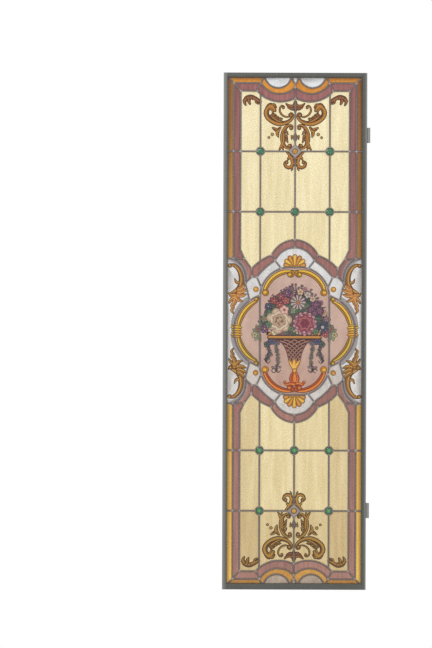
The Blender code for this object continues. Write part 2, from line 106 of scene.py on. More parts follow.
LUNETTE_HALF_CHORD = math.sqrt(LUNETTE_RADIUS ** 2 - LUNETTE_RAISE ** 2)
MIDDLE_PIECE_Z = LIGHT_Z - MIDDLE_PIECE_DROP

# Came and solder profile: distance from the centre line and half depth
CAME_PROFILE = ((0, 3.0), (0.9, 2.9), (1.7, 2.5), (2.3, 1.95), (CAME_FLANGE / 2, 1.56))
JEWEL_FLANGE_SHARE = 0.55
SOLDER_TOP = 3.7
SOLDER_RIM = 1.6
ARC_STEP = 4.0
RING_SIDES = 32
SIDES = (("left", -1), ("right", 1))
ENDS = (("upper", 1), ("lower", -1))
BOTH = (1, -1)


# Plane geometry

def circle_through(a, b, c):
    """Centre and radius of the circle through three points."""
    ax, az = a[0] - c[0], a[1] - c[1]
    bx, bz = b[0] - c[0], b[1] - c[1]
    double_area = 2 * (ax * bz - az * bx)
    a_square = ax * ax + az * az
    b_square = bx * bx + bz * bz
    x = (bz * a_square - az * b_square) / double_area
    z = (ax * b_square - bx * a_square) / double_area
    return (c[0] + x, c[1] + z), math.hypot(x, z)


def polar(centre, radius, angle, squash=1.0):
    """The place at a distance and an angle from a centre."""
    return (centre[0] + radius * math.cos(angle), centre[1] + squash * radius * math.sin(angle))


def bowl(centre, radius, start, sweep, step=ARC_STEP):
    """Points of an arc around a centre, by angles in radians, with a point every few millimetres."""
    count = max(2, math.ceil(abs(sweep) * radius / step))
    return [polar(centre, radius, start + sweep * number / count) for number in range(count + 1)]


def arc(start, through, end):
    """Points of the circular arc from start to end that passes through the third point."""
    centre, radius = circle_through(start, through, end)
    angles = [math.atan2(p[1] - centre[1], p[0] - centre[0]) for p in (start, through, end)]
    sweep = (angles[2] - angles[0]) % math.tau
    if (angles[1] - angles[0]) % math.tau > sweep:
        sweep -= math.tau
    return [start] + bowl(centre, radius, angles[0], sweep)[1:-1] + [end]


def split_at(points, place):
    """An arc's points, parted at the point that lies nearest to a place."""
    nearest = min(range(len(points)), key=lambda number: math.dist(points[number], place))
    return points[: nearest + 1], points[nearest:]


def at_column(points):
    """Splits a run of points where it crosses the column came, giving (outer part, inner part)."""
    for index in range(len(points) - 1):
        (ax, az), (bx, bz) = points[index], points[index + 1]
        if ax >= COLUMN_X > bx:
            share = (ax - COLUMN_X) / (ax - bx)
            crossing = (COLUMN_X, az + share * (bz - az))
            return points[: index + 1] + [crossing], [crossing] + points[index + 1:]
    return points, points[-1:]


def signed_area(points):
    """Area of a closed outline, positive when it runs anticlockwise."""
    pairs = zip(points, points[1:] + points[:1])
    return sum(a[0] * b[1] - b[0] * a[1] for a, b in pairs) / 2


def without_repeats(points):
    """A closed outline without points that lie on the one before."""
    kept = []
    for point in points:
        if not kept or math.dist(point, kept[-1]) > 0.05:
            kept.append(point)
    if math.dist(kept[0], kept[-1]) < 0.05:
        kept.pop()
    return kept


def inset(points, distance):
    """Moves every side of an anticlockwise outline inwards by the distance, with mitred corners."""
    moved = []
    for before, here, after in zip(points[-1:] + points[:-1], points, points[1:] + points[:1]):
        first = (Vector(here) - Vector(before)).normalized()
        second = (Vector(after) - Vector(here)).normalized()
        normals = Vector((-first.y - second.y, first.x + second.x))
        mitre = normals / max(0.12, 1 + first.dot(second))
        moved.append((here[0] + mitre.x * distance, here[1] + mitre.y * distance))
    return moved


def mirrored(points, across, up):
    """Points turned into another quadrant, by signs for x and z."""
    return [(x * across, z * up) for x, z in points]


def both_sides(half):
    """Closes a half outline, which starts and ends on the middle line, with its mirror image."""
    return half + mirrored(half, -1, 1)[-2:0:-1]


def across_column(share):
    """A place between the column came and the purple border's inner came."""
    return COLUMN_X + share * OUTER_COLUMN


def rise(share):
    """A height in the medallion, as a share of its half height."""
    return MEDALLION_HALF_HEIGHT * share


def ring_corner(corner, toward_x, toward_z):
    """The arc of a green jewel's ring that cuts a pane's corner, from the x side to the z side."""
    steps = RING_SIDES // 4
    turned = [polar((0, 0), GREEN_RING_RADIUS, math.pi / 2 * number / steps) for number in range(steps + 1)]
    return [(corner[0] + toward_x * x, corner[1] + toward_z * z) for x, z in turned]


def diamond_corner(corner, toward_x, toward_z):
    """The two points that replace a pane's corner beside an amber jewel."""
    x, z = corner
    return [(x + toward_x * AMBER_DIAMOND, z), (x, z + toward_z * AMBER_DIAMOND)]


# Came lines of the upper right quadrant

DIAGONAL_FOOT = (COLUMN_X + DIAGONAL_REACH, PURPLE_Z)
DIAGONAL_SLOPE = DIAGONAL_LEAN / (LIGHT_Z - PURPLE_Z)
DIAGONAL_AT_AMBER = (DIAGONAL_FOOT[0] - DIAGONAL_SLOPE * PURPLE_END, AMBER_Z)
SWAG_LOW = (SWAG_X, CRESCENT_LOW - PURPLE_SWAG_WIDTH)
CRESCENT_END = (0, MIDDLE_PIECE_Z - CRESCENT_NECK)
SWAG_END = (0, CRESCENT_END[1] - SWAG_NECK)
LUNETTE_END = (SWAG_X + LUNETTE_HALF_CHORD, LIGHT_Z)
LUNETTE_START = (SWAG_X - LUNETTE_HALF_CHORD, LIGHT_Z)
MIDDLE_CORNER = (MIDDLE_PIECE_FOOT, MIDDLE_PIECE_Z)
SHOULDER = (PURPLE_X, rise(0.89))
BEND = (across_column(0.79), rise(0.79))
BORDER_JOINT = (AMBER_X, rise(0.79))
VALLEY = (across_column(0.43), rise(0.68))
HAUNCH_FOOT = (across_column(0.75), rise(0.525))
VALLEY_FOOT = (across_column(0.40), rise(0.595))
WHITE_CORNER = (across_column(0.16), rise(0.59))
JOINT_OUT = (COLUMN_X * 0.67, rise(0.83))
JOINT_IN = (COLUMN_X * 0.565, rise(0.772))
APEX_OUT = (0, rise(1.0))
APEX_IN = (0, rise(0.915))
OVAL_TOP = (0, rise(0.695))
LOBE_TOP = (COLUMN_X, rise(0.39))
LOBE_SIDE = (HALF_WIDTH - FRAME_FACE - LOBE_TO_FRAME, 0)
SHELL_FOOT = (46, 219)
BALL_PANE_TOP = (117, 154)

SWAG_ARC = arc(DIAGONAL_FOOT, SWAG_LOW, SWAG_END)
CRESCENT_ARC = arc(DIAGONAL_AT_AMBER, (SWAG_X, CRESCENT_LOW), CRESCENT_END)
LUNETTE_ARC = arc(LUNETTE_END, (SWAG_X, LUNETTE_LOW), LUNETTE_START)
SIDE_ARCH_OUT = arc(VALLEY, (across_column(-0.04), rise(0.772)), JOINT_OUT)
SIDE_ARCH_IN = arc(WHITE_CORNER, (COLUMN_X * 0.845, rise(0.694)), JOINT_IN)
APEX_ARCH_OUT = arc(JOINT_OUT, (COLUMN_X * 0.413, rise(0.948)), APEX_OUT)
APEX_ARCH_IN = arc(JOINT_IN, (COLUMN_X * 0.347, rise(0.873)), APEX_IN)
HAUNCH_ARC = arc(BORDER_JOINT, (across_column(0.90), rise(0.71)), HAUNCH_FOOT)
OVAL_ARC = arc(LOBE_TOP, (COLUMN_X * 0.845, rise(0.56)), OVAL_TOP)
LOBE_ARC = arc(LOBE_TOP, LOBE_SIDE, (LOBE_TOP[0], -LOBE_TOP[1]))
LOBE_CENTRE, LOBE_RADIUS = circle_through(LOBE_TOP, LOBE_SIDE, (LOBE_TOP[0], -LOBE_TOP[1]))
OVAL_CENTRE, OVAL_RADIUS = circle_through(LOBE_TOP, (COLUMN_X * 0.845, rise(0.56)), OVAL_TOP)
LOBE_SPLIT = (157.7, 106.5)


# Tiles: name, kind, outline and the solid that the pane stands for

def across_border(z):
    """The ends of a came that crosses the purple border."""
    return [(PURPLE_X, z), (AMBER_X, z)]


def across_edge(z):
    """The ends of a came that crosses the amber border."""
    return [(AMBER_X, z), (LIGHT_X, z)]


def quadrant_tiles():
    """The tiles of the upper right quadrant, as (name, kind, outline, node)."""
    swag_outer, swag_inner = at_column(SWAG_ARC)
    arch_outer, arch_inner = at_column(SIDE_ARCH_OUT)
    upper_column, lower_column = (COLUMN_X, UPPER_ROW_Z), (COLUMN_X, LOWER_ROW_Z)
    upper_middle, lower_middle = (0, UPPER_ROW_Z), (0, LOWER_ROW_Z)
    oval_outer, oval_rest = split_at(OVAL_ARC, BALL_PANE_TOP)
    oval_inner, _ = split_at(oval_rest, SHELL_FOOT)
    lobe_upper, _ = split_at(LOBE_ARC, LOBE_SPLIT)
    cream = {
        "end_outer": [(PURPLE_X, UPPER_ROW_Z), (PURPLE_X, PURPLE_Z)]
        + swag_outer
        + ring_corner(upper_column, 1, 1)[::-1],
        "end_inner": diamond_corner(upper_middle, 1, 1)
        + swag_inner[::-1]
        + ring_corner(upper_column, -1, 1)[::-1],
        "middle_outer": [(PURPLE_X, LOWER_ROW_Z), (PURPLE_X, UPPER_ROW_Z)]
        + ring_corner(upper_column, 1, -1)
        + ring_corner(lower_column, 1, 1)[::-1],
        "middle_inner": ring_corner(lower_middle, 1, 1)
        + diamond_corner(upper_middle, 1, -1)[::-1]
        + ring_corner(upper_column, -1, -1)
        + ring_corner(lower_column, -1, 1)[::-1],
        "medallion_outer": [SHOULDER, (PURPLE_X, LOWER_ROW_Z)]
        + ring_corner(lower_column, 1, -1)
        + arch_outer[::-1]
        + [BEND],
        "medallion_inner": ring_corner(lower_middle, 1, -1)[::-1]
        + ring_corner(lower_column, -1, -1)
        + arch_inner
        + APEX_ARCH_OUT[1:],
    }
    purple = {
        "swag": SWAG_ARC + CRESCENT_ARC[::-1],
        "end": [DIAGONAL_FOOT, DIAGONAL_AT_AMBER, (AMBER_X, AMBER_Z), (PURPLE_X, PURPLE_Z)],
        "side_top": [(PURPLE_X, PURPLE_Z), (AMBER_X, AMBER_Z)] + across_border(UPPER_ROW_Z)[::-1],
        "side_middle": across_border(UPPER_ROW_Z) + across_border(LOWER_ROW_Z)[::-1],
        "side_foot": across_border(LOWER_ROW_Z) + [BORDER_JOINT, BEND, SHOULDER],
        "haunch": HAUNCH_ARC + [VALLEY_FOOT, VALLEY, BEND],
        "side_arch": SIDE_ARCH_OUT + SIDE_ARCH_IN[::-1] + [VALLEY_FOOT],
        "apex_arch": APEX_ARCH_OUT + APEX_ARCH_IN[::-1],
    }
    end_amber = {
        "crescent": LUNETTE_ARC + [MIDDLE_CORNER, (0, MIDDLE_PIECE_Z)] + CRESCENT_ARC[::-1],
        "end": [(AMBER_X, AMBER_Z), (LIGHT_X, LIGHT_Z), LUNETTE_END, DIAGONAL_AT_AMBER],
    }
    amber = {
        "side_top": across_edge(UPPER_ROW_Z) + [(LIGHT_X, LIGHT_Z), (AMBER_X, AMBER_Z)],
        "side_middle": across_edge(LOWER_ROW_Z) + across_edge(UPPER_ROW_Z)[::-1],
        "side_foot": across_edge(BORDER_JOINT[1]) + across_edge(LOWER_ROW_Z)[::-1],
    }
    white = {
        "side_piece": SIDE_ARCH_IN + oval_inner[::-1],
        "ball_pane": [WHITE_CORNER, VALLEY_FOOT, HAUNCH_FOOT] + lobe_upper[::-1] + oval_outer[1:],
    }
    groups = (
        ("cream_glass_{end}_PLACE_{side}", "cream", cream, "cream_pane_{end}_PLACE_{side}"),
        ("purple_glass_{end}_PLACE_{side}", "purple", purple, "purple_border_{end}"),
        ("amber_glass_{end}_PLACE_{side}", "amber", amber, "amber_border_{end}_{side}"),
        ("amber_glass_{end}_PLACE_{side}", "end amber", end_amber, "amber_border_{end}_{side}"),
        ("white_PLACE_{end}_{side}", "white", white, "white_band_{end}"),
        ("white_PLACE_{end}_{side}", "white", {"lunette": LUNETTE_ARC}, "lunette_{end}_{side}"),
    )
    return [(name.replace("PLACE", place), kind, outline, node.replace("PLACE", place))
            for name, kind, group, node in groups for place, outline in group.items()]


def all_tiles():
    """Every flat pane of the light."""
    tiles = []
    for end, up in ENDS:
        for side, across in SIDES:
            for name, kind, outline, node in quadrant_tiles():
                name, node = (words.format(end=end, side=side) for words in (name, node))
                tiles.append((name, kind, mirrored(outline, across, up), node))
        middle = mirrored([LUNETTE_START], -1, 1) + [LUNETTE_START, MIDDLE_CORNER]
        middle = mirrored(middle + mirrored([MIDDLE_CORNER], -1, 1), 1, up)
        tiles.append((f"white_middle_piece_{end}", "white", middle, f"end_middle_piece_{end}"))
        _, oval_rest = split_at(OVAL_ARC, BALL_PANE_TOP)
        _, oval_crown = split_at(oval_rest, SHELL_FOOT)
        shell = both_sides(APEX_ARCH_IN[::-1] + oval_crown)
        tiles.append((f"white_shell_pane_{end}", "white", mirrored(shell, 1, up), f"white_band_{end}"))
    for side, across in SIDES:
        _, lobe_rest = split_at(LOBE_ARC, LOBE_SPLIT)
        lobe_side, _ = split_at(lobe_rest, mirrored([LOBE_SPLIT], 1, -1)[0])
        upper = [(LIGHT_X, BORDER_JOINT[1])] + HAUNCH_ARC
        outline = mirrored(upper + lobe_side + mirrored(upper, 1, -1)[::-1], across, 1)
        tiles.append((f"white_side_pane_{side}", "white", outline, f"rocaille_pane_{side}"))
        lobe = mirrored(LOBE_ARC, across, 1)
        tiles.append((f"painted_lobe_{side}", "painted", lobe, f"medallion_lobe_{side}"))
    upper = OVAL_ARC + mirrored(OVAL_ARC, -1, 1)[-2::-1]
    centre = upper + mirrored(upper, 1, -1)[::-1]
    tiles.append(("painted_centre", "painted", centre, "medallion_centre"))
    cleaned = []
    for name, kind, outline, node in tiles:
        outline = without_repeats(outline)
        if signed_area(outline) < 0:
            outline.reverse()
        cleaned.append((name, kind, outline, node))
    return cleaned


def jewels():
    """Each jewel's name, kind, centre, ring radius and node."""
    places = []
    for end, up in ENDS:
        for side, across in SIDES:
            for row, z in (("end", UPPER_ROW_Z), ("middle", LOWER_ROW_Z)):
                centre = (across * COLUMN_X, up * z)
                places.append((f"green_jewel_{end}_{row}_{side}", "green", centre, GREEN_RING_RADIUS))
        places.append((f"green_jewel_{end}_centre", "green", (0, up * LOWER_ROW_Z), GREEN_RING_RADIUS))
        places.append((f"amber_jewel_{end}", "amber jewel", (0, up * UPPER_ROW_Z), AMBER_RING_RADIUS))
    return places


def ring_outline(centre, radius):
    """A jewel's round outline, with corners where the cames meet it."""
    return [polar(centre, radius, math.tau * number / RING_SIDES) for number in range(RING_SIDES)]


def with_tees(outlines):
    """Adds to every outline the corners of its neighbours that lie on its long sides."""
    corners = np.array([point for outline in outlines for point in outline])
    finished = []
    for outline in outlines:
        points = []
        for here, after in zip(outline, outline[1:] + outline[:1]):
            points.append(here)
            length = math.dist(here, after)
            if length < 2 * ARC_STEP:
                continue
            along = np.array(after) - np.array(here)
            offsets = corners - np.array(here)
            share = offsets @ along / length ** 2
            apart = np.abs(offsets[:, 0] * along[1] - offsets[:, 1] * along[0]) / length
            near = (apart < 0.02) & (share * length > 0.5) & ((1 - share) * length > 0.5)
            for value in sorted(set(np.round(share[near], 5))):
                points.append((here[0] + along[0] * value, here[1] + along[1] * value))
        finished.append(points)
    return finished


# Glass painting: every shape is a list of anticlockwise polygons with a tone, painted in order

TONES = []
SHAPES = []


def tone(colour):
    """The number of a paint tone, from its colour as 0 to 255."""
    if colour not in TONES:
        TONES.append(colour)
    return TONES.index(colour)


def paint(polygons, colour, across=(1,), up=(1,)):
    """Adds polygons to the painting, once for every quadrant that is asked for."""
    number = tone(colour)
    for sign_x in across:
        for sign_z in up:
            for polygon in polygons:
                placed = mirrored(polygon, sign_x, sign_z)
                if len(placed) < 3:
                    continue
                area = signed_area(placed)
                if abs(area) < 0.02:
                    continue
                if area < 0:
                    placed.reverse()
                SHAPES.append((placed, number))


def flowing(points, step=2.4):
    """A smooth line through a few points."""
    if len(points) == 2:
        middle = tuple((a + b) / 2 for a, b in zip(*points))
        points = [points[0], middle, points[1]]
    ends = [points[0]] + list(points) + [points[-1]]
    line = []
    for a, b, c, d in zip(ends, ends[1:], ends[2:], ends[3:]):
        count = max(2, math.ceil(math.dist(b, c) / step))
        for number in range(count):
            t = number / count
            line.append(tuple(
                0.5 * (2 * q + (r - p) * t + (2 * p - 5 * q + 4 * r - s) * t * t
                       + (3 * q - p - 3 * r + s) * t ** 3)
                for p, q, r, s in zip(a, b, c, d)
            ))
    line.append(tuple(points[-1]))
    return line


def along(values, share):
    """A value at a share of the way through a few values, eased between them."""
    place = share * (len(values) - 1)
    first = min(int(place), len(values) - 2)
    ease = place - first
    ease = ease * ease * (3 - 2 * ease)
    return values[first] * (1 - ease) + values[first + 1] * ease


def disc(centre, radius, sides=12, squash=1.0):
    """A round spot."""
    return [polar(centre, radius, math.tau * number / sides, squash) for number in range(sides)]


def hull(points):
    """The convex outline round a few points, anticlockwise."""
    points = sorted(set(points))
    if len(points) < 3:
        return points
    chains = []
    for order in (points, points[::-1]):
        chain = []
        for here in order:
            while len(chain) > 1:
                (ax, az), (bx, bz) = chain[-2:]
                if (bx - ax) * (here[1] - az) - (bz - az) * (here[0] - ax) > 1e-6:
                    break
                chain.pop()
            chain.append(here)
        chains.append(chain[:-1])
    return chains[0] + chains[1]


def ribbon(line, widths, less=0.0, shift=0.0, share=1.0):
    """A brush stroke along a line: four-sided pieces between cross lines, with round ends. The
    stroke is narrowed by a length and by a share, and moved sideways by a share of its width."""
    lefts, rights = [], []
    last = len(line) - 1
    radii = []
    for number, (x, z) in enumerate(line):
        before, after = line[max(number - 1, 0)], line[min(number + 1, last)]
        direction = Vector((after[0] - before[0], after[1] - before[1])).normalized()
        width = along(widths, number / last)
        radius = max(0.15, (width / 2 - less) * share)
        aside = width * shift
        side = Vector((-direction.y, direction.x))
        lefts.append((x + side.x * (aside + radius), z + side.y * (aside + radius)))
        rights.append((x + side.x * (aside - radius), z + side.y * (aside - radius)))
        radii.append(radius)
    pieces = [hull([rights[n], rights[n + 1], lefts[n + 1], lefts[n]]) for n in range(last)]
    for number in (0, last):
        centre = tuple((a + b) / 2 for a, b in zip(lefts[number], rights[number]))
        if radii[number] > 0.4:
            pieces.append(disc(centre, radii[number] * 0.98, 10))
    return pieces


def stroke(points, widths, colour, across=(1,), up=(1,), **shape):
    """Paints one brush stroke through a few points."""
    paint(ribbon(flowing(points), widths, **shape), colour, across, up)


def ornament(parts, tones, across=BOTH, up=BOTH, line=2.2):
    """Scrolls and leaves with a traced outline, a body tone and a light along one side.
    A part is (points, widths) and tones are (outline, body, light)."""
    lines = [(flowing(points), [width + LINE_SPREAD for width in widths]) for points, widths in parts]
    line += LINE_SPREAD / 3
    for path, widths in lines:
        paint(ribbon(path, widths), tones[0], across, up)
    for path, widths in lines:
        paint(ribbon(path, widths, less=line), tones[1], across, up)
    for path, widths in lines:
        if max(widths) > 3 * line:
            paint(ribbon(path, widths, less=line, shift=0.12, share=0.5), tones[2], across, up)


def ball(centre, radius, tones, across=BOTH, up=BOTH, line=1.7):
    """A round knob with a light on its upper left."""
    paint([disc(centre, radius, 16)], tones[0], across, up)
    paint([disc(centre, radius - line, 14)], tones[1], across, up)
    light = (centre[0] + radius * 0.15, centre[1] + radius * 0.15)
    paint([disc(light, (radius - line) * 0.5, 9)], tones[2], across, up)


def lobes(points, shares, side, reach, width):
    """Leaf lobes that spring from one side of a scroll's line, as parts for an ornament."""
    line = flowing(points)
    parts = []
    for number, share in enumerate(shares):
        place = round(share * (len(line) - 2))
        root, after = Vector(line[place]), Vector(line[place + 1])
        ahead = (after - root).normalized()
        aside = Vector((-ahead.y, ahead.x)) * side
        size = reach * (1 - 0.12 * (number % 2))
        middle = root + ahead * size * 0.35 + aside * size * 0.62
        tip = root + ahead * size * 0.95 + aside * size * 0.92
        parts.append(([tuple(root), tuple(middle), tuple(tip)], (width, width * 0.95, width * 0.35)))
    return parts


def veins(points, shares, side, reach, colour, across, up):
    """Thin traced lines between the lobes of a leaf."""
    for part, _ in lobes(points, shares, side, reach, 1):
        stroke(part, (1.9, 1.2), colour, across, up)


LINE_SPREAD = 1.2
SEPIA = (40, 20, 6)
UPPER_STAIN = (SEPIA, (128, 74, 22), (188, 130, 42))
LOWER_STAIN = ((38, 24, 6), (124, 82, 26), (188, 144, 50))
RUST = ((44, 22, 8), (112, 62, 26), (158, 100, 42))
GOLD = ((52, 34, 6), (186, 128, 14), (234, 190, 52))
OLIVE_GOLD = ((50, 36, 6), (164, 122, 18), (218, 180, 52))
ORANGE = ((62, 22, 4), (184, 76, 14), (230, 132, 34))
ROCAILLE = ((54, 32, 10), (142, 92, 32), (194, 142, 56))


def end_ornament(up, stain):
    """The acanthus scrolls of one end, from sizes in the right half."""
    where = {"across": BOTH, "up": (up,)}
    corner_leaf = RUST if up > 0 else stain
    crest = [(181, 803), (170, 813), (155, 816), (138, 810), (122, 800)]
    ornament([
        (crest, (6, 14, 16, 13, 9)),
        ([(172, 808), (177, 799), (173, 788)], (13, 11, 6)),
        ([(160, 810), (162, 801), (158, 792)], (12, 11, 7)),
        ([(136, 806), (137, 799), (131, 794), (122, 794)], (9, 8, 7, 6)),
    ], corner_leaf, **where, line=1.5)
    veins(crest, (0.2, 0.38, 0.56), 1, 9, corner_leaf[0], BOTH, (up,))
    scroll = [(74, 768), (79, 776), (88, 780), (97, 774), (101, 760), (95, 745), (80, 733)]
    scroll += [(60, 725), (40, 725), (22, 732), (11, 743), (9, 753), (15, 759), (21, 754)]
    widths = (8, 12, 16, 18, 18, 18, 19, 19, 17, 14, 12, 11, 9, 7)
    head = [
        ([(98, 778), (88, 788), (76, 782), (70, 768)], (13, 15, 13, 8)),
        ([(88, 786), (74, 790), (66, 780)], (10, 8, 4)),
        ([(84, 776), (78, 766), (80, 758)], (10, 8, 4)),
    ]
    ornament([(scroll, widths)] + head, stain, **where, line=1.9)
    inner = [(90, 768), (95, 757), (88, 743), (74, 735), (56, 731), (38, 732)]
    stroke(inner, (1.2, 2.4, 2.6, 2.0, 1.2), stain[0], **where)
    leaf_line = [(84, 752), (72, 744), (58, 735), (44, 729)]
    ornament([(leaf_line, (7, 15, 14, 6))] + lobes(leaf_line, (0.05, 0.35, 0.65), -1, 12, 10), stain,
             **where, line=1.5)
    veins(leaf_line, (0.1, 0.4, 0.65), -1, 10, stain[0], BOTH, (up,))
    stroke(leaf_line, (1.2, 2.0, 1.6), stain[0], **where)
    ball((15, 752), 8, stain, **where)
    twig = [(24, 747), (36, 748), (47, 755), (54, 767), (53, 779), (46, 786), (39, 783)]
    ornament([(twig, (5, 6, 6.5, 6.5, 6, 6, 5))], stain, **where, line=1.5)
    ball((41.5, 779), 5.5, stain, **where, line=1.5)
    ornament([
        ([(2, 786), (13, 783), (24, 786), (32, 793)], (14, 13, 10, 5)),
        ([(2, 776), (12, 774), (20, 777), (26, 781)], (10, 9, 7, 4)),
        ([(0, 763), (0, 776), (0, 788), (0, 799)], (6, 12, 18, 11)),
    ], RUST, **where, line=1.6)
    for x, z in ((6, 792), (7, 783), (5, 774)):
        paint([disc((x, z), 2.2, 9)], RUST[0], **where)
    hook = [(13, 709), (10, 714), (20, 718), (32, 711), (41, 695), (45, 677), (43, 658), (35, 644)]
    hook += [(24, 638), (15, 643), (16, 650)]
    flames = [(42, 700), (40, 684), (40, 668), (39, 655)]
    ornament([(hook, (7, 8, 11, 14, 15, 15, 14, 12, 10, 9, 7)),
              ([(44, 656), (48, 644), (55, 633)], (11, 10, 6)),
              ([(45, 645), (42, 633)], (8, 5)),
              (flames, (10, 12, 12, 8))]
             + lobes(flames, (0.05, 0.35, 0.65), -1, 16, 10), stain, **where, line=1.7)
    veins(flames, (0.1, 0.4, 0.7), -1, 12, stain[0], BOTH, (up,))
    stroke([(36, 704), (44, 688), (45, 668), (41, 652)], (1.2, 2.2, 2.0, 1.2), stain[0], **where)
    ball((14, 708), 7.5, stain, **where, line=1.6)
    ball((20, 646), 7.5, stain, **where, line=1.6)
    ornament([
        ([(60, 697), (69, 703), (79, 709)], (11, 12, 6)),
        ([(60, 697), (56, 705), (51, 710)], (11, 11, 7)),
        ([(61, 700), (62, 689), (59, 677)], (14, 12, 5)),
    ], stain, **where, line=1.5)
    stroke([(54, 707), (62, 700), (74, 706)], (1.4, 1.8, 1.4), stain[0], **where)
    for centre, radius in (((80, 686), 4.9), ((92, 675), 3.8)):
        circle = bowl(centre, radius, 0, math.tau, 1.6)
        paint([disc(centre, radius + 0.8, 16)], (196, 152, 70), **where)
        paint(ribbon(circle, (2.4, 2.4)), stain[0], **where)
    lozenge = [(0, 656), (11, 675), (0, 695), (-11, 675)]
    paint([lozenge], (84, 70, 56), (1,), (up,))
    paint([inset(lozenge, 1.8)], (134, 116, 104), (1,), (up,))
    ornament([([(9, 676), (13, 682), (12, 668)], (6, 5, 3))], stain, **where, line=1.2)
    drop = [(33, 628), (21, 616), (11, 600), (8, 586), (12, 575), (22, 570), (33, 575), (36, 586)]
    drop.append((30, 592))
    ornament([
        (drop, (4, 9, 13, 14, 13, 12, 11, 10, 7)),
        ([(11, 577), (10, 566), (13, 560)], (9, 7, 4)),
        ([(13, 604), (22, 604), (26, 596)], (11, 10, 5)),
    ] + lobes(drop, (0.3, 0.45), -1, 12, 8), stain, **where, line=1.6)
    ball((29, 588), 6.5, stain, **where, line=1.5)


def band_stroke(centre, radius, start, end, step=2.4):
    """A stroke's line along a circle, by angles in degrees."""
    return bowl(centre, radius, math.radians(start), math.radians(end - start), step)


def gilt_band(line, tones, across, up, width=18.5):
    """One moulded gold scroll of the medallion's frame: two bright beads beside a dark hollow."""
    widths = (width * 0.66, width, width, width * 0.8)
    paint(ribbon(line, widths), tones[0], across, up)
    paint(ribbon(line, widths, less=2.2), tones[1], across, up)
    paint(ribbon(line, widths, less=2.2, shift=0.17, share=0.44), tones[2], across, up)
    paint(ribbon(line, widths, shift=-0.12, share=0.10), tones[0], across, up)


def scroll_end(centre, radius, tones, across, up):
    """The rolled end of a gold scroll: a knob inside a turned rim."""
    ball(centre, radius, tones, across, up, line=1.9)
    whorl = bowl(centre, radius * 0.52, 0.6, math.tau * 0.72, 1.6)
    paint(ribbon(whorl, (1.4, 1.8, 1.2)), tones[0], across, up)


def medallion_frame():
    """Gold scrolls along the medallion's cames, with volutes, clasps, balls and shells."""
    for up, tones in ((1, GOLD), (-1, ORANGE)):
        upper = band_stroke(OVAL_CENTRE, OVAL_RADIUS - 15, 99, 9)
        gilt_band(upper, tones, BOTH, (up,))
        curl = [(10, 207), (4, 203), (7, 194), (15, 190)]
        stroke(curl, (10, 9, 9, 8), tones[0], BOTH, (up,))
        stroke(curl, (10, 9, 9, 8), tones[1], BOTH, (up,), less=1.6)
        scroll_end((16, 197), 10.5, tones, BOTH, (up,))
        end_tones = GOLD if up > 0 else (GOLD[0], (210, 134, 26), GOLD[2])
        scroll_end((101.5, 134), 12.5, end_tones, BOTH, (up,))
        side_tones = GOLD if up > 0 else OLIVE_GOLD
        side = band_stroke(LOBE_CENTRE, LOBE_RADIUS - 14.5, 62, 8)
        gilt_band(side, side_tones, BOTH, (up,))
        scroll_end((133, 112), 9.5, side_tones, BOTH, (up,))
        ball((135, 145.5), 10, ((112, 70, 24), (196, 136, 44), (226, 178, 84)), BOTH, (up,))
    clasp_x = LOBE_CENTRE[0] + LOBE_RADIUS - 8
    rings = ((20, 27, 7), (12, 34, 10), (3.5, 29, 9), (-4.5, 29, 9), (-13, 34, 10), (-20.5, 27, 7))
    for z, width, height in rings:
        bar = flowing([(clasp_x - width / 2, z), (clasp_x, z + 1), (clasp_x + width / 2, z)])
        tones = GOLD if z > 0 else (GOLD[0], (188, 124, 30), (224, 172, 56))
        heights = (height * 0.8, height + 2, height * 0.8)
        paint(ribbon(bar, heights), tones[0], BOTH)
        paint(ribbon(bar, heights, less=1.5), tones[1], BOTH)
        paint(ribbon(bar, heights, less=1.5, shift=0.15, share=0.5), tones[2], BOTH)
    for up in BOTH:
        shell(up)


def shell(up):
    """A seven-lobed scallop that stands on the oval came."""
    root_z, fan = 224, 7
    line = (92, 58, 16)
    warm, bright = ((184, 112, 40), (216, 158, 66)), ((204, 148, 40), (236, 196, 84))
    tips = []
    for number in range(fan):
        angle = math.radians(8 + 164 * number / (fan - 1))
        reach = 31 + 7 * math.sin(angle)
        tips.append((reach * math.cos(angle), root_z + 3 + (reach - 5) * math.sin(angle), angle))
    order = sorted(range(fan), key=lambda number: -abs(number - fan // 2))
    for number in order:
        x, z, angle = tips[number]
        start = (5 * math.cos(angle), root_z + 4 * math.sin(angle))
        body, light = bright if number % 2 else warm
        stroke = flowing([start, (x, z)], 5)
        paint(ribbon(stroke, (8, 17)) + [disc((x, z), 8.8, 14)], line, up=(up,))
        paint(ribbon(stroke, (5, 13.6)) + [disc((x, z), 7.0, 14)], body, up=(up,))
        paint(ribbon(stroke, (1.6, 6)) + [disc((x, z), 3.6, 10)], light, up=(up,))
    foot = flowing([(-17, 229), (0, 225), (17, 229)])
    paint(ribbon(foot, (8, 9, 8)), line, up=(up,))
    paint(ribbon(foot, (8, 9, 8), less=1.6), (196, 136, 46), up=(up,))


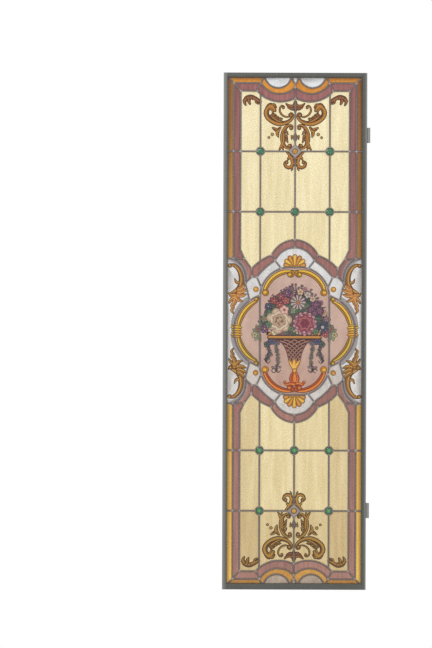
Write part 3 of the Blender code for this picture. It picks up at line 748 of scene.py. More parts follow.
def rocaille():
    """Shell-work scrolls on the white side panes, each with a leafy cluster and a drop, on a grey band
    along the cames that is part wash and part painted shade beside the lead."""
    # A grey band along the haunch and lobe cames: part wash, part painted shade beside the lead
    wash_and_shade = (158, 150, 150)
    haunch = [(x + 4, z) for x, z in HAUNCH_ARC]
    paint(ribbon(haunch, (18, 20, 22)), wash_and_shade, BOTH, BOTH)
    lobe_edge = band_stroke(LOBE_CENTRE, LOBE_RADIUS + 7, 52, 8)
    paint(ribbon(lobe_edge, (20, 18, 12)), wash_and_shade, BOTH, BOTH)
    for up in BOTH:
        bend = [(226, 229), (214, 230), (199, 219), (189, 200), (186, 178), (190, 156), (202, 141)]
        bend.append((220, 133))
        ornament([
            (bend, (10, 12, 15, 17, 18, 18, 16, 9)),
            ([(191, 168), (203, 170), (209, 182)], (12, 9, 4)),
        ], ROCAILLE, BOTH, (up,), line=1.5)
        trace = [(214, 228), (202, 214), (193, 196), (191, 176), (196, 157), (210, 143)]
        stroke(trace, (1.4, 2.2, 2.2, 1.4), ROCAILLE[0], BOTH, (up,))
        ball((226, 228), 8, ROCAILLE, BOTH, (up,), line=1.5)
        leaves = [
            ([(196, 146), (184, 152), (174, 163)], (15, 15, 6)),
            ([(196, 136), (181, 139), (167, 146)], (16, 15, 6)),
            ([(198, 126), (183, 124), (170, 128)], (16, 14, 6)),
            ([(210, 124), (221, 124), (229, 132)], (16, 13, 6)),
            ([(204, 118), (194, 108), (183, 104)], (16, 13, 6)),
            ([(210, 116), (222, 108), (228, 98)], (15, 12, 6)),
            ([(207, 112), (210, 98), (218, 88), (213, 78)], (16, 15, 12, 7)),
            ([(214, 84), (219, 71), (213, 61)], (11, 10, 5)),
        ]
        warm = (ROCAILLE[0], (184, 116, 52), (214, 156, 80))
        colours = warm if up > 0 else ROCAILLE
        ornament(leaves, colours, BOTH, (up,), line=1.4)
        for points, _ in leaves:
            stroke(points, (1.3, 0.9), colours[0], BOTH, (up,))
        if up < 0:
            ball((222, 127), 9, ROCAILLE, BOTH, (up,), line=1.4)
            whorl = bowl((222, 127), 4.6, 0, math.tau * 0.7, 1.6)
            paint(ribbon(whorl, (1.3, 1.3)), ROCAILLE[0], BOTH, (up,))


# The bouquet: generic blossoms in a woven basket

INK = (40, 26, 32)
LEAF_GREENS = ((54, 78, 58), (74, 96, 74), (96, 106, 80), (46, 84, 66), (84, 74, 78))


def blossom(centre, radius, rings, turn=0.0, heart=None, ink=INK, squash=1.0):
    """A flower of petal rings, the outermost first: (petals, reach, petal size, colour, light)."""
    for petals, reach, size, colour, light in rings:
        spots = [polar(centre, radius * reach, turn + math.tau * number / petals, squash)
                 for number in range(petals)]
        paint([disc(spot, radius * size, 11, squash) for spot in spots], ink)
        for spot in spots:
            paint([disc(spot, radius * size - 1.0, 11, squash)], colour)
            inner = tuple(c + (s - c) * 1.07 for s, c in zip(spot, centre))
            paint([disc(inner, radius * size * 0.45, 8, squash)], light)
        turn += math.pi / petals
    if heart:
        paint([disc(centre, radius * heart[0], 10, squash)], ink)
        paint([disc(centre, radius * heart[0] - 0.9, 10, squash)], heart[1])


def rose(centre, radius, shades, turn=0.0):
    """A full rose: guard petals, then rings that close towards a swirled heart."""
    deep, middle, light = shades
    blossom(centre, radius, [
        (7, 0.66, 0.38, middle, light),
        (6, 0.42, 0.36, light, middle),
        (5, 0.22, 0.30, middle, deep),
    ], turn)
    swirl = [polar(centre, radius * r, a + turn)
             for r, a in ((0.34, 0.2), (0.30, 1.5), (0.24, 2.9), (0.18, 4.3), (0.10, 5.6), (0.03, 6.6))]
    paint(ribbon(flowing(swirl, 1.6), (1.2, 1.8, 1.2)), INK)


def daisy(centre, radius, colour, light, heart, petals=11, turn=0.0):
    """Long petals round a button."""
    for layer in range(3):
        for number in range(petals):
            angle = turn + math.tau * number / petals
            tip, near = polar(centre, radius, angle), polar(centre, radius * 0.25, angle)
            width = radius * 0.46
            shade = (INK, colour, light)[layer]
            paint(ribbon(flowing([near, tip], 6), (width * 0.5, width), less=0.9 * layer,
                         share=(1, 1, 0.4)[layer]), shade)
    paint([disc(centre, radius * 0.34, 12)], INK)
    paint([disc(centre, radius * 0.34 - 1, 12)], heart)


def leaf(root, tip, width, colour, vein=True):
    """A pointed leaf with a midrib."""
    line = flowing([root, tip], 4)
    paint(ribbon(line, (1.2, width, width * 0.8, 0.6)), INK)
    paint(ribbon(line, (1.0, width, width * 0.8, 0.6), less=0.8), colour)
    if vein:
        paint(ribbon(line, (0.9, 0.8)), tuple(min(255, value + 34) for value in colour))


def spray(points, width, colour, berry, chance):
    """A hanging or rising stem with small leaves in pairs and a bud at its end."""
    line = flowing(points, 3)
    paint(ribbon(line, (2.0, 1.4)), INK)
    for number in range(1, len(line) - 1, 2):
        here, after = Vector(line[number]), Vector(line[min(number + 1, len(line) - 1)])
        ahead = (after - here).normalized()
        for side in (1, -1):
            aside = Vector((-ahead.y, ahead.x)) * side
            reach = width * chance.uniform(0.7, 1.3)
            tip = here + ahead * reach * 0.8 + aside * reach
            leaf(tuple(here), tuple(tip), width * 0.62, colour, vein=False)
    paint([disc(line[-1], 3.4, 9)], INK)
    paint([disc(line[-1], 2.3, 9)], berry)


def bouquet(chance):
    """Flowers in their broad areas: leaves behind, then the smaller heads, then the two big ones."""
    turns = [math.tau * number / 48 for number in range(48)]
    mass = [(104 * math.cos(a) * (1 + 0.05 * math.sin(7 * a)),
             max(50 + 78 * math.sin(a) * (1 + 0.06 * math.cos(9 * a)), -14)) for a in turns]
    paint([hull(mass)], (88, 78, 72))
    for number in range(110):
        angle = math.radians(-32 + 244 * chance.random())
        near, reach = chance.uniform(20, 72), chance.uniform(84, 106)
        start = (near * math.cos(angle), 50 + near * 0.8 * math.sin(angle))
        tip_x = reach * 1.06 * math.cos(angle) + chance.uniform(-7, 7)
        tip = (tip_x, max(52 + reach * math.sin(angle) * 0.93, -20))
        leaf(start, tip, chance.uniform(8, 14), chance.choice(LEAF_GREENS))
    for number in range(20):
        angle = math.radians(28 + 126 * number / 19)
        start = (60 * math.cos(angle), 64 + 50 * math.sin(angle))
        reach = chance.uniform(92, 110)
        tip = (reach * math.cos(angle) * 0.92, 56 + reach * math.sin(angle))
        spray([start, tip], 5.2, chance.choice(LEAF_GREENS), (142, 84, 100), chance)
    for side in (1, -1):
        for number in range(9):
            angle = math.radians(-100 + 44 * number)
            middle = (side * 106, 26)
            tip = (middle[0] + 25 * math.cos(angle), middle[1] + 34 * math.sin(angle))
            leaf(middle, tip, 12, chance.choice(LEAF_GREENS))
        for x, z in ((117, 30), (134, 24), (148, 8), (152, -14), (138, -36), (118, -40)):
            leaf((side * 126, -6), (side * x, z), 15, (112, 122, 92) if z > 0 else (134, 138, 106))
        blossom((side * 139, -13), 11, [(5, 0.56, 0.5, (156, 146, 108), (186, 176, 136))], side)
        blossom((side * 128, 7), 9, [(5, 0.56, 0.5, (132, 86, 78), (168, 120, 102))], side)
    small = [
        ((-92, 86), 13, (52, 52, 76), (82, 84, 108)), ((-72, 106), 14, (124, 46, 56), (160, 84, 86)),
        ((-52, 92), 15, (130, 50, 58), (168, 90, 90)), ((-30, 106), 14, (138, 56, 66), (178, 102, 100)),
        ((-48, 121), 13, (124, 50, 62), (162, 88, 92)), ((-27, 132), 14, (92, 54, 84), (132, 88, 118)),
        ((-12, 147), 10, (98, 64, 90), (134, 98, 122)), ((-8, 122), 10, (118, 62, 82), (156, 102, 118)),
        ((20, 137), 12, (190, 146, 120), (216, 184, 156)), ((36, 146), 8, (150, 96, 110), (186, 138, 146)),
        ((46, 126), 12, (166, 148, 140), (202, 186, 176)), ((63, 112), 11, (178, 148, 130), (206, 180, 160)),
        ((-104, 8), 15, (90, 54, 84), (130, 88, 118)), ((-106, 42), 12, (108, 100, 80), (146, 138, 110)),
        ((-86, 62), 13, (56, 96, 72), (92, 126, 98)), ((102, 62), 12, (166, 130, 110), (196, 166, 142)),
        ((90, 98), 10, (120, 70, 96), (160, 110, 130)), ((112, 42), 10, (130, 88, 100), (168, 128, 134)),
        ((-70, -4), 11, (196, 182, 148), (216, 206, 178)), ((4, -2), 10, (186, 166, 122), (206, 192, 152)),
        ((108, -10), 13, (140, 56, 70), (180, 98, 106)), ((-6, 72), 12, (108, 124, 94), (138, 154, 120)),
        ((-20, 84), 10, (54, 92, 68), (88, 122, 92)), ((48, 70), 11, (98, 110, 86), (138, 146, 116)),
        ((-40, -6), 9, (120, 64, 88), (160, 104, 124)), ((34, -8), 9, (96, 64, 98), (136, 100, 134)),
    ]
    for centre, radius, colour, light in small:
        petal_ring = (5, 0.56, 0.52, colour, light)
        blossom(centre, radius, [petal_ring], chance.uniform(0, 2), (0.26, (196, 160, 98)))
    for centre, radius in (((74, 88), 19), ((58, 74), 16), ((86, 70), 17), ((70, 62), 13)):
        blossom(centre, radius, [(6, 0.6, 0.46, (84, 54, 78), (122, 84, 104)),
                                 (5, 0.32, 0.34, (110, 66, 90), (148, 100, 116))], chance.uniform(0, 2))
    daisy((12, 100), 23, (166, 140, 136), (204, 184, 176), (166, 112, 76))
    daisy((98, 14), 20, (52, 54, 80), (86, 90, 120), (176, 168, 168), petals=9, turn=0.3)
    for number in range(12):
        angle = math.radians(10 + 30 * number)
        root = (-8 + 44 * math.cos(angle), 32 + 34 * math.sin(angle))
        leaf(root, (root[0] * 1.45, 32 + (root[1] - 32) * 1.45), 13, chance.choice(LEAF_GREENS))
    blossom((36, 26), 44, [
        (14, 0.80, 0.19, (160, 102, 112), (196, 146, 148)),
        (12, 0.62, 0.20, (176, 116, 124), (206, 158, 158)),
    ], 0.2)
    rose((36, 27), 31, ((106, 38, 52), (138, 56, 72), (176, 98, 104)), 0.6)
    rose((-54, 36), 45, ((134, 102, 80), (186, 156, 128), (214, 192, 166)), 0.1)
    petal_ring = (5, 0.5, 0.52, (200, 150, 136), (224, 188, 172))
    blossom((-36, 74), 17, [petal_ring], 0.4, (0.25, (160, 92, 80)))
    for centre, radius in (((-12, 8), 10), ((-90, 22), 12), ((74, -2), 11)):
        blossom(centre, radius, [(5, 0.55, 0.5, (80, 104, 76), (120, 138, 102))], chance.uniform(0, 2))


def basket():
    """A flared woven basket on a gold cup, a knob and a turned foot, set on the lower scrolls."""
    profile = ((-28, 76), (-34, 56), (-46, 42), (-64, 31), (-86, 24), (-104, 20))
    sides = [(half, z) for z, half in profile]
    body = sides + mirrored(sides, -1, 1)[::-1]
    body = body[::-1] if signed_area(body) < 0 else body
    wood, weave, gap = (84, 42, 40), (186, 136, 112), (70, 34, 42)
    paint([body], INK)
    paint([inset(body, 1.5)], gap)

    def half_at(z):
        for (upper, wide), (lower, narrow) in zip(profile, profile[1:]):
            if lower <= z <= upper:
                return narrow + (wide - narrow) * (z - lower) / (upper - lower)
        return 0

    strips, rows, twist = 4, 20, 2.4
    for lean in (1, -1):
        for start in range(-3 * strips, 3 * strips + 1, 2):
            line = []
            for number in range(rows + 1):
                z = -30 - 72 * number / rows
                share = start / strips + lean * number * twist / rows
                if abs(share) < 0.97:
                    line.append((share * half_at(z), z))
            if len(line) > 1:
                paint(ribbon(line, (5.2, 3.6)), wood)
                paint(ribbon(line, (2.6, 1.8)), weave)
    for edge in (1, -1):
        stroke([(x * edge * 0.97, z) for x, z in sides], (4.5, 3), (104, 54, 46))
    paint(ribbon([(-90, -22), (90, -22)], (12, 12)), INK)
    paint(ribbon([(-89, -21), (89, -21)], (8, 8)), (180, 118, 46))
    paint(ribbon([(-88, -20), (88, -20)], (2.6, 2.6)), (214, 158, 78))
    paint(ribbon([(-92, -9), (92, -9)], (14, 14)), INK)
    ropes = 17
    for number in range(ropes):
        x = -86 + 172 * number / (ropes - 1)
        paint([disc((x, -9), 6.0, 10, 0.95)], (104, 62, 36))
        paint(ribbon([(x - 3, -12), (x + 3, -6)], (6, 6)), (184, 118, 50))
        paint(ribbon([(x - 2, -10.5), (x + 2.5, -6.5)], (2.4, 2.4)), (218, 162, 86))
    amber_gold = ((98, 48, 12), (206, 136, 38), (234, 186, 84))
    ornament([
        ([(0, -132), (0, -116), (0, -100)], (12, 17, 9)),
        ([(2, -131), (9, -118), (19, -102)], (12, 13, 6)),
        ([(-2, -131), (-9, -118), (-19, -102)], (12, 13, 6)),
    ], amber_gold, (1,), (1,), line=1.5)
    urn = ((96, 38, 12), (190, 82, 22), (224, 128, 48))
    ornament([([(0, -142), (0, -152), (0, -166), (0, -177)], (16, 28, 36, 30))], urn, (1,), (1,), line=2)
    for side in (1, -1):
        stroke([(side * 3, -146), (side * 8, -158), (side * 8, -172)], (2.4, 2.4), urn[0])
    ball((0, -138), 8.5, amber_gold, (1,), (1,))
    for side in (1, -1):
        foot_line = [(0, -185), (side * 14, -183), (side * 26, -186), (side * 34, -180)]
        ornament([(foot_line, (13, 12, 10, 7))], urn, (1,), (1,), line=1.7)
        ball((side * 33, -178), 6, urn, (1,), (1,))


def hanging_sprays(chance):
    """Trailing stems beside the basket, each with a rolled end."""
    for side in (1, -1):
        outer = [(84, -26), (93, -50), (86, -72), (92, -92), (100, -104), (92, -112), (84, -104)]
        inner = [(62, -30), (64, -58), (58, -86), (58, -116), (64, -136), (56, -144), (48, -136)]
        for line, width, colour in ((outer, 8.5, (74, 76, 74)), (inner, 7.5, (92, 100, 84))):
            placed = mirrored(line, side, 1)
            spray(placed[:5], width, colour, (112, 74, 86), chance)
            stroke(placed[3:], (2.6, 3.4, 2.6), INK)
        curl = bowl((side * 72, -138), 7, 0, side * math.tau * 0.8)
        paint(ribbon(curl, (3.2, 2.4)), INK)
        for x, z in ((66, -126), (76, -126), (50, -126), (98, -88), (80, -84)):
            paint([disc((side * x, z), 4.6, 10)], INK)
            paint([disc((side * x, z), 3.2, 10)], (142, 112, 118))
        blossom((side * 80, -36), 13, [(5, 0.55, 0.5, (62, 58, 90), (96, 92, 124))], 0.4)
        blossom((side * 97, -46), 11, [(5, 0.55, 0.5, (60, 70, 66), (98, 108, 92))], 0.1)
        blossom((side * 58, -42), 8, [(5, 0.55, 0.5, (92, 84, 104), (132, 122, 140))], 0.6)


def painting():
    """All that is painted on the panes, back to front."""
    end_ornament(1, UPPER_STAIN)
    end_ornament(-1, LOWER_STAIN)
    rocaille()
    chance = random.Random(11)
    hanging_sprays(chance)
    basket()
    bouquet(chance)
    medallion_frame()


# Meshes

STRAIGHT = 0.02
# Bands beside the cames, darkened partly by dirt and putty and partly by painted shade
DIRT_AND_SHADE_RINGS = (CAME_FLANGE / 2 + 1.2, CAME_FLANGE / 2 + 3.4)
FRAME_SHADOWS = {"left": 5.5, "right": 9.0}


def point(x, depth, z):
    """A place in metres from a place on the panel and a depth behind its middle plane."""
    return (MIDDLE.x + x * MM, MIDDLE.y + depth * MM, MIDDLE.z + z * MM)


def add_object(name, vertices, faces, material, nodes):
    """A mesh object on the root body that stands for the named nodes."""
    mesh = bpy.data.meshes.new(name)
    mesh.from_pydata(vertices, [], faces)
    made = bpy.data.objects.new(name, mesh)
    bpy.context.scene.collection.objects.link(made)
    mesh.materials.append(material)
    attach(made, "root")
    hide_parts(*nodes)
    return made


def edge_distance(points, outline):
    """Each point's distance to the nearest side of an outline."""
    places = np.array(points)[:, None, :]
    starts = np.array(outline)[None, :, :]
    sides = np.roll(starts, -1, axis=1) - starts
    offsets = places - starts
    share = np.clip((offsets * sides).sum(2) / np.maximum((sides ** 2).sum(2), 1e-9), 0, 1)
    return np.linalg.norm(offsets - share[..., None] * sides, axis=2).min(1)


def box_of(polygon):
    """The lowest and highest x and z of a polygon."""
    xs, zs = zip(*polygon)
    return min(xs), max(xs), min(zs), max(zs)


def overlaps(polygon, box):
    """Whether a polygon reaches into a box."""
    left, right, low, high = box_of(polygon)
    return left < box[1] and right > box[0] and low < box[3] and high > box[2]


def covered(places, polygon):
    """The numbers of the places that lie inside a polygon."""
    corners = np.array(polygon)
    low, high = corners.min(0), corners.max(0)
    near = np.flatnonzero(((places >= low) & (places <= high)).all(1))
    inside = np.zeros(len(near), dtype=bool)
    x, z = places[near].T
    for (ax, az), (bx, bz) in zip(corners, np.roll(corners, -1, axis=0)):
        if az != bz:
            inside ^= ((az > z) != (bz > z)) & (x < (bx - ax) * (z - az) / (bz - az) + ax)
    return near[inside]


def glass_faces(outline):
    """Cuts a pane into triangles along its painted shapes. Returns its points, its triangles and
    each triangle's paint tone, or -1 where the glass is bare."""
    edge = inset(outline, CAME_HEART / 2 + GLASS_GAP)
    box = box_of(edge)
    shapes = [(polygon, number) for polygon, number in SHAPES if overlaps(polygon, box)]
    dirt_and_shade_lines = [inset(outline, distance) for distance in DIRT_AND_SHADE_RINGS]
    loops, places = [], []
    for polygon in [edge] + dirt_and_shade_lines + [polygon for polygon, _ in shapes]:
        loops.append(list(range(len(places), len(places) + len(polygon))))
        places.extend(Vector(corner) for corner in polygon)
    places, _, faces, _, _, sources = delaunay_2d_cdt(places, [], loops, 1, 0.0005, True)
    bare = len(loops) - len(shapes)
    tops = [max(source, default=0) - bare for source in sources]
    shades = [shapes[top][1] if top >= 0 else -1 for top in tops]
    corners = np.array([tuple(place) for place in places])
    middles = corners[np.array(faces)].mean(1)
    bands = np.zeros(len(faces), dtype=int)
    for line in dirt_and_shade_lines:
        bands[covered(middles, line)] += 1
    kept = covered(middles, edge)
    faces, shades = ([values[number] for number in kept] for values in (faces, shades))
    return merged(places, faces, shades, bands[kept])


def merged(places, faces, shades, bands):
    """Joins neighbouring triangles of one tone and one band of dirt and painted shade into larger areas,
    and cuts those up again into as few triangles as they need."""
    mesh = bmesh.new()
    levels = len(DIRT_AND_SHADE_RINGS) + 1
    used = {corner for face in faces for corner in face}
    corners = {corner: mesh.verts.new((*places[corner], 0)) for corner in used}
    for face, shade, band in zip(faces, shades, bands):
        mesh.faces.new([corners[corner] for corner in face]).material_index = (shade + 1) * levels + band
    mesh.normal_update()
    bmesh.ops.dissolve_limit(mesh, angle_limit=STRAIGHT, verts=mesh.verts, edges=mesh.edges,
                             delimit={"MATERIAL"})
    bmesh.ops.triangulate(mesh, faces=mesh.faces, ngon_method="EAR_CLIP")
    mesh.verts.index_update()
    points = [(corner.co.x, corner.co.y) for corner in mesh.verts]
    triangles = [[corner.index for corner in face.verts] for face in mesh.faces]
    tops = [face.material_index // levels - 1 for face in mesh.faces]
    mesh.free()
    return points, triangles, tops


def backlight_shade(kind, outline):
    """How much painted shade a pane gets, as from less light behind it: the lower outer panes and the foot
    most of all, and the upper amber panes on the right.
    """
    x = sum(abs(x) for x, _ in outline) / len(outline)
    z = sum(z for _, z in outline) / len(outline)
    share = 0.0
    if kind == "amber" and sum(x for x, _ in outline) > 0 and z > 0:
        share = 0.9
    elif z < -0.3 * MEDALLION_HALF_HEIGHT:
        share = 0.15 + 0.4 * (x > COLUMN_X) + 0.4 * (z < -UPPER_ROW_Z)
        if kind in ("amber", "purple"):
            share = 0.05
        elif kind == "white":
            share += 0.5 * (z < -UPPER_ROW_Z)
    return share


def add_pane(name, kind, outline, node, finishes, chance):
    """A pane of sheet glass with its paint on both faces as colour, cut to lie in the cames."""
    points, triangles, shades = glass_faces(outline)
    count = len(points)
    half = GLASS_THICKNESS / 2
    vertices = [point(x, -half, z) for x, z in points] + [point(x, half, z) for x, z in points]
    faces = [list(face) for face in triangles]
    faces += [[corner + count for corner in reversed(face)] for face in triangles]
    used = dict.fromkeys(side for face in triangles for side in zip(face, face[1:] + face[:1]))
    rim = [(a, b) for a, b in used if (b, a) not in used]
    faces += [[b, a, a + count, b + count] for a, b in rim]
    material, slot = finishes[kind]
    pane = add_object(name, vertices, faces, material, [node])
    colours = np.zeros((len(pane.data.loops), 4), dtype=np.float32)
    start = 0
    for index, face in enumerate(faces):
        if index < 2 * len(triangles):
            shade = shades[index % len(triangles)]
            if shade >= 0:
                colours[start:start + len(face)] = (*linear(TONES[shade]), 1.0)
        start += len(face)
    layer = pane.data.color_attributes.new("paint", "FLOAT_COLOR", "CORNER")
    layer.data.foreach_set("color", colours.ravel())
    # Darkening towards the cames, part dirt and putty and part painted shade, plus a painted shadow of the
    # frame along its inner edge
    distance = edge_distance(points, outline)
    dirt_and_shade = np.clip((DIRT_AND_SHADE_RINGS[1] - distance) / (DIRT_AND_SHADE_RINGS[1] - CAME_FLANGE / 2), 0, 1) ** 1.5
    to_frame = np.array([min(HALF_WIDTH - abs(x), HALF_HEIGHT - abs(z)) - FRAME_FACE for x, z in points])
    shadow = np.array([FRAME_SHADOWS["right" if x > 0 else "left"] for x, _ in points])
    dirt_and_shade = 0.55 * dirt_and_shade + 0.7 * np.clip(1 - to_frame / shadow, 0, 1)
    shade = pane.data.attributes.new("shade", "FLOAT_VECTOR", "POINT")
    values = np.zeros((2 * count, 3), dtype=np.float32)
    values[:, 0] = np.clip(np.concatenate((dirt_and_shade, dirt_and_shade)), 0, 1)
    values[:, 1] = chance.uniform(0, 1)
    values[:, 2] = backlight_shade(kind, outline)
    shade.data.foreach_set("vector", values.ravel())
    return pane


def came_rings(outline, share=1.0):
    """Outlines and depths of one tile's part of the lattice, from the front crest to the back. The
    flange can be narrowed by a share."""
    rings = [(inset(outline, distance * share) if distance else outline, -depth)
             for distance, depth in CAME_PROFILE]
    groove = inset(outline, CAME_HEART / 2)
    lip = CAME_PROFILE[-1][1]
    rings.append((groove, -lip))
    return rings + [(points, -depth) for points, depth in reversed(rings)]


def add_cames(outlines, jewel_places, material, plate_material):
    """The whole lattice: every tile's rounded cames, the plates round the amber jewels and a
    narrow outer edge that lies in the steel frame's groove."""
    mesh = bmesh.new()

    def loop_of(points, depth):
        return [mesh.verts.new(point(x, depth, z)) for x, z in points]

    def bridge(near, far, finish=0):
        for index in range(len(near)):
            face = mesh.faces.new((near[index - 1], near[index], far[index], far[index - 1]))
            face.smooth = True
            face.material_index = finish

    for number, outline in enumerate(outlines):
        share = 1.0 if number < len(outlines) - len(jewel_places) else JEWEL_FLANGE_SHARE
        loops = [loop_of(points, depth) for points, depth in came_rings(outline, share)]
        for near, far in zip(loops, loops[1:]):
            bridge(near, far)
    crest = CAME_PROFILE[0][1]
    for _, kind, centre, radius in jewel_places:
        if kind != "amber jewel":
            continue
        ring = ring_outline(centre, radius)
        diamond = []
        for x, z in ring:
            dx, dz = x - centre[0], z - centre[1]
            reach = AMBER_DIAMOND / (abs(dx) + abs(dz))
            diamond.append((centre[0] + dx * reach, centre[1] + dz * reach))
        middle = [((a[0] + b[0]) / 2, (a[1] + b[1]) / 2) for a, b in zip(ring, diamond)]
        for side in (-1, 1):
            loops = [loop_of(ring, side * crest), loop_of(middle, side * (crest + 0.45)),
                     loop_of(diamond, side * crest)]
            if side < 0:
                loops.reverse()
            for near, far in zip(loops, loops[1:]):
                bridge(near, far, 1)
    edge = [(-LIGHT_X, -LIGHT_Z), (LIGHT_X, -LIGHT_Z), (LIGHT_X, LIGHT_Z), (-LIGHT_X, LIGHT_Z)]
    bridge(loop_of(edge, crest), loop_of(edge, -crest))
    bmesh.ops.remove_doubles(mesh, verts=mesh.verts, dist=0.00002)
    for corner in mesh.verts:
        wave = noise.noise_vector(Vector((corner.co.x, 0, corner.co.z)) * 45)
        corner.co.x += wave.x * 0.00018
        corner.co.z += wave.z * 0.00018
    data = bpy.data.meshes.new("lead_cames")
    mesh.to_mesh(data)
    mesh.free()
    made = bpy.data.objects.new("lead_cames", data)
    bpy.context.scene.collection.objects.link(made)
    data.materials.append(material)
    data.materials.append(plate_material)
    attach(made, "root")
    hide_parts("lead_came_lattice")
    return made


def junctions(outlines, ring_count):
    """Places where three or more tiles meet, the directions of the cames that leave them and
    whether one of the tiles is a jewel, whose outlines come last."""
    meeting = {}
    for number, outline in enumerate(outlines):
        for before, here, after in zip(outline[-1:] + outline[:-1], outline, outline[1:] + outline[:1]):
            key = (round(here[0] * 4), round(here[1] * 4))
            entry = meeting.setdefault(key, (here, set(), []))
            entry[1].add(number)
            for other in (before, after):
                entry[2].append(math.atan2(other[1] - here[1], other[0] - here[0]))
    found = []
    for here, tiles, directions in meeting.values():
        inside = abs(here[0]) < LIGHT_X - 8 and abs(here[1]) < LIGHT_Z - 8
        if len(tiles) >= 3 and inside:
            found.append((here, directions, max(tiles) >= len(outlines) - ring_count))
    return found


def add_solder(outlines, ring_count, material, chance):
    """Flattened solder on both faces of every joint, flowing a little way along each came."""
    vertices, faces = [], []
    turns = 22
    levels = ((0.0, 1.0), (0.35, 0.97), (0.6, 0.8), (0.82, 0.45), (1.0, 0.0))
    for (x, z), directions, on_ring in junctions(outlines, ring_count):
        swell = chance.uniform(0.85, 1.15)
        base, length = (1.9, 1.9) if on_ring else (2.9, 4.6)
        for side in (-1, 1):
            start = len(vertices)
            for level, (share, height) in enumerate(levels):
                depth = side * (SOLDER_RIM + (SOLDER_TOP - SOLDER_RIM) * height)
                if level == 0:
                    vertices.append(point(x, depth, z))
                    continue
                for number in range(turns):
                    angle = math.tau * number / turns
                    flow = max(max(0, math.cos(angle - way)) ** 8 for way in directions)
                    wobble = 1 + 0.12 * noise.noise(Vector((x + number, z, side * 3)))
                    reach = share * swell * wobble * (base + length * flow)
                    rim_place = polar((x, z), reach, angle)
                    vertices.append(point(rim_place[0], depth, rim_place[1]))
            for number in range(turns):
                after = (number + 1) % turns
                fan = [start, start + 1 + number, start + 1 + after]
                faces.append(fan if side < 0 else fan[::-1])
                for level in range(1, len(levels) - 1):
                    inner = start + 1 + (level - 1) * turns
                    outer = inner + turns
                    quad = [inner + number, outer + number, outer + after, inner + after]
                    faces.append(quad if side < 0 else quad[::-1])
    made = add_object("solder_joints", vertices, faces, material, ["lead_came_lattice"])
    made.data.shade_smooth()
    return made


def add_jewel(name, kind, centre, ring_radius, finishes):
    """A pressed jewel: a round button with petal flutes on its dome and a plain back."""
    turns = 48
    flutes = 8
    rim = ring_radius - CAME_HEART / 2 - GLASS_GAP
    sight = ring_radius - CAME_FLANGE / 2 * JEWEL_FLANGE_SHARE
    half = GLASS_THICKNESS / 2
    dome = 2.6
    levels = [(rim, half, 0.0), (rim, -half, 0.0), (sight, -half, 0.0)]
    for number in range(1, 9):
        share = 1 - number / 8.5
        height = half + dome * (1 - share ** 2) ** 0.6
        flute = 0.42 * math.sin(math.pi * min(1, share * 1.05)) if share > 0.3 else 0
        levels.append((sight * share, -height, flute))
    vertices = [point(centre[0], half, centre[1])]
    for radius, depth, flute in levels:
        for number in range(turns):
            angle = math.tau * number / turns
            lift = flute * math.cos(flutes * angle)
            rim_place = polar(centre, radius, angle)
            vertices.append(point(rim_place[0], depth - lift, rim_place[1]))
    vertices.append(point(centre[0], levels[-1][1] - 0.1, centre[1]))
    faces = []
    for number in range(turns):
        after = (number + 1) % turns
        faces.append([0, 1 + after, 1 + number])
        for level in range(len(levels) - 1):
            near, far = 1 + level * turns, 1 + (level + 1) * turns
            faces.append([near + number, near + after, far + after, far + number])
        last = 1 + (len(levels) - 1) * turns
        faces.append([last + number, last + after, len(vertices) - 1])
    material, slot = finishes[kind]
    made = add_object(name + "_pressed", vertices, faces, material, [name])
    made.data.shade_smooth()
    made.data.set_sharp_from_angle(angle=math.radians(40))
    # Values for the painted glow and shade: distance from the middle, place on the flutes and whether the
    # jewel is in the upper half
    shade = made.data.attributes.new("shade", "FLOAT_VECTOR", "POINT")
    for corner, vertex in zip(shade.data, made.data.vertices):
        offset = vertex.co - Vector(point(centre[0], 0, centre[1]))
        distance = math.hypot(offset.x, offset.z) / MM / sight
        angle = math.atan2(offset.z, offset.x)
        flute = 0.5 + 0.5 * math.cos(flutes * angle)
        corner.vector = (min(1, distance), flute, 1 if centre[1] > 0 else 0)
    return made


# Finishes

def linear(colour):
    """A colour of 0 to 255 as scene-linear values."""
    shares = [value / 255 for value in colour]
    return tuple(v / 12.92 if v <= 0.04045 else ((v + 0.055) / 1.055) ** 2.4 for v in shares)


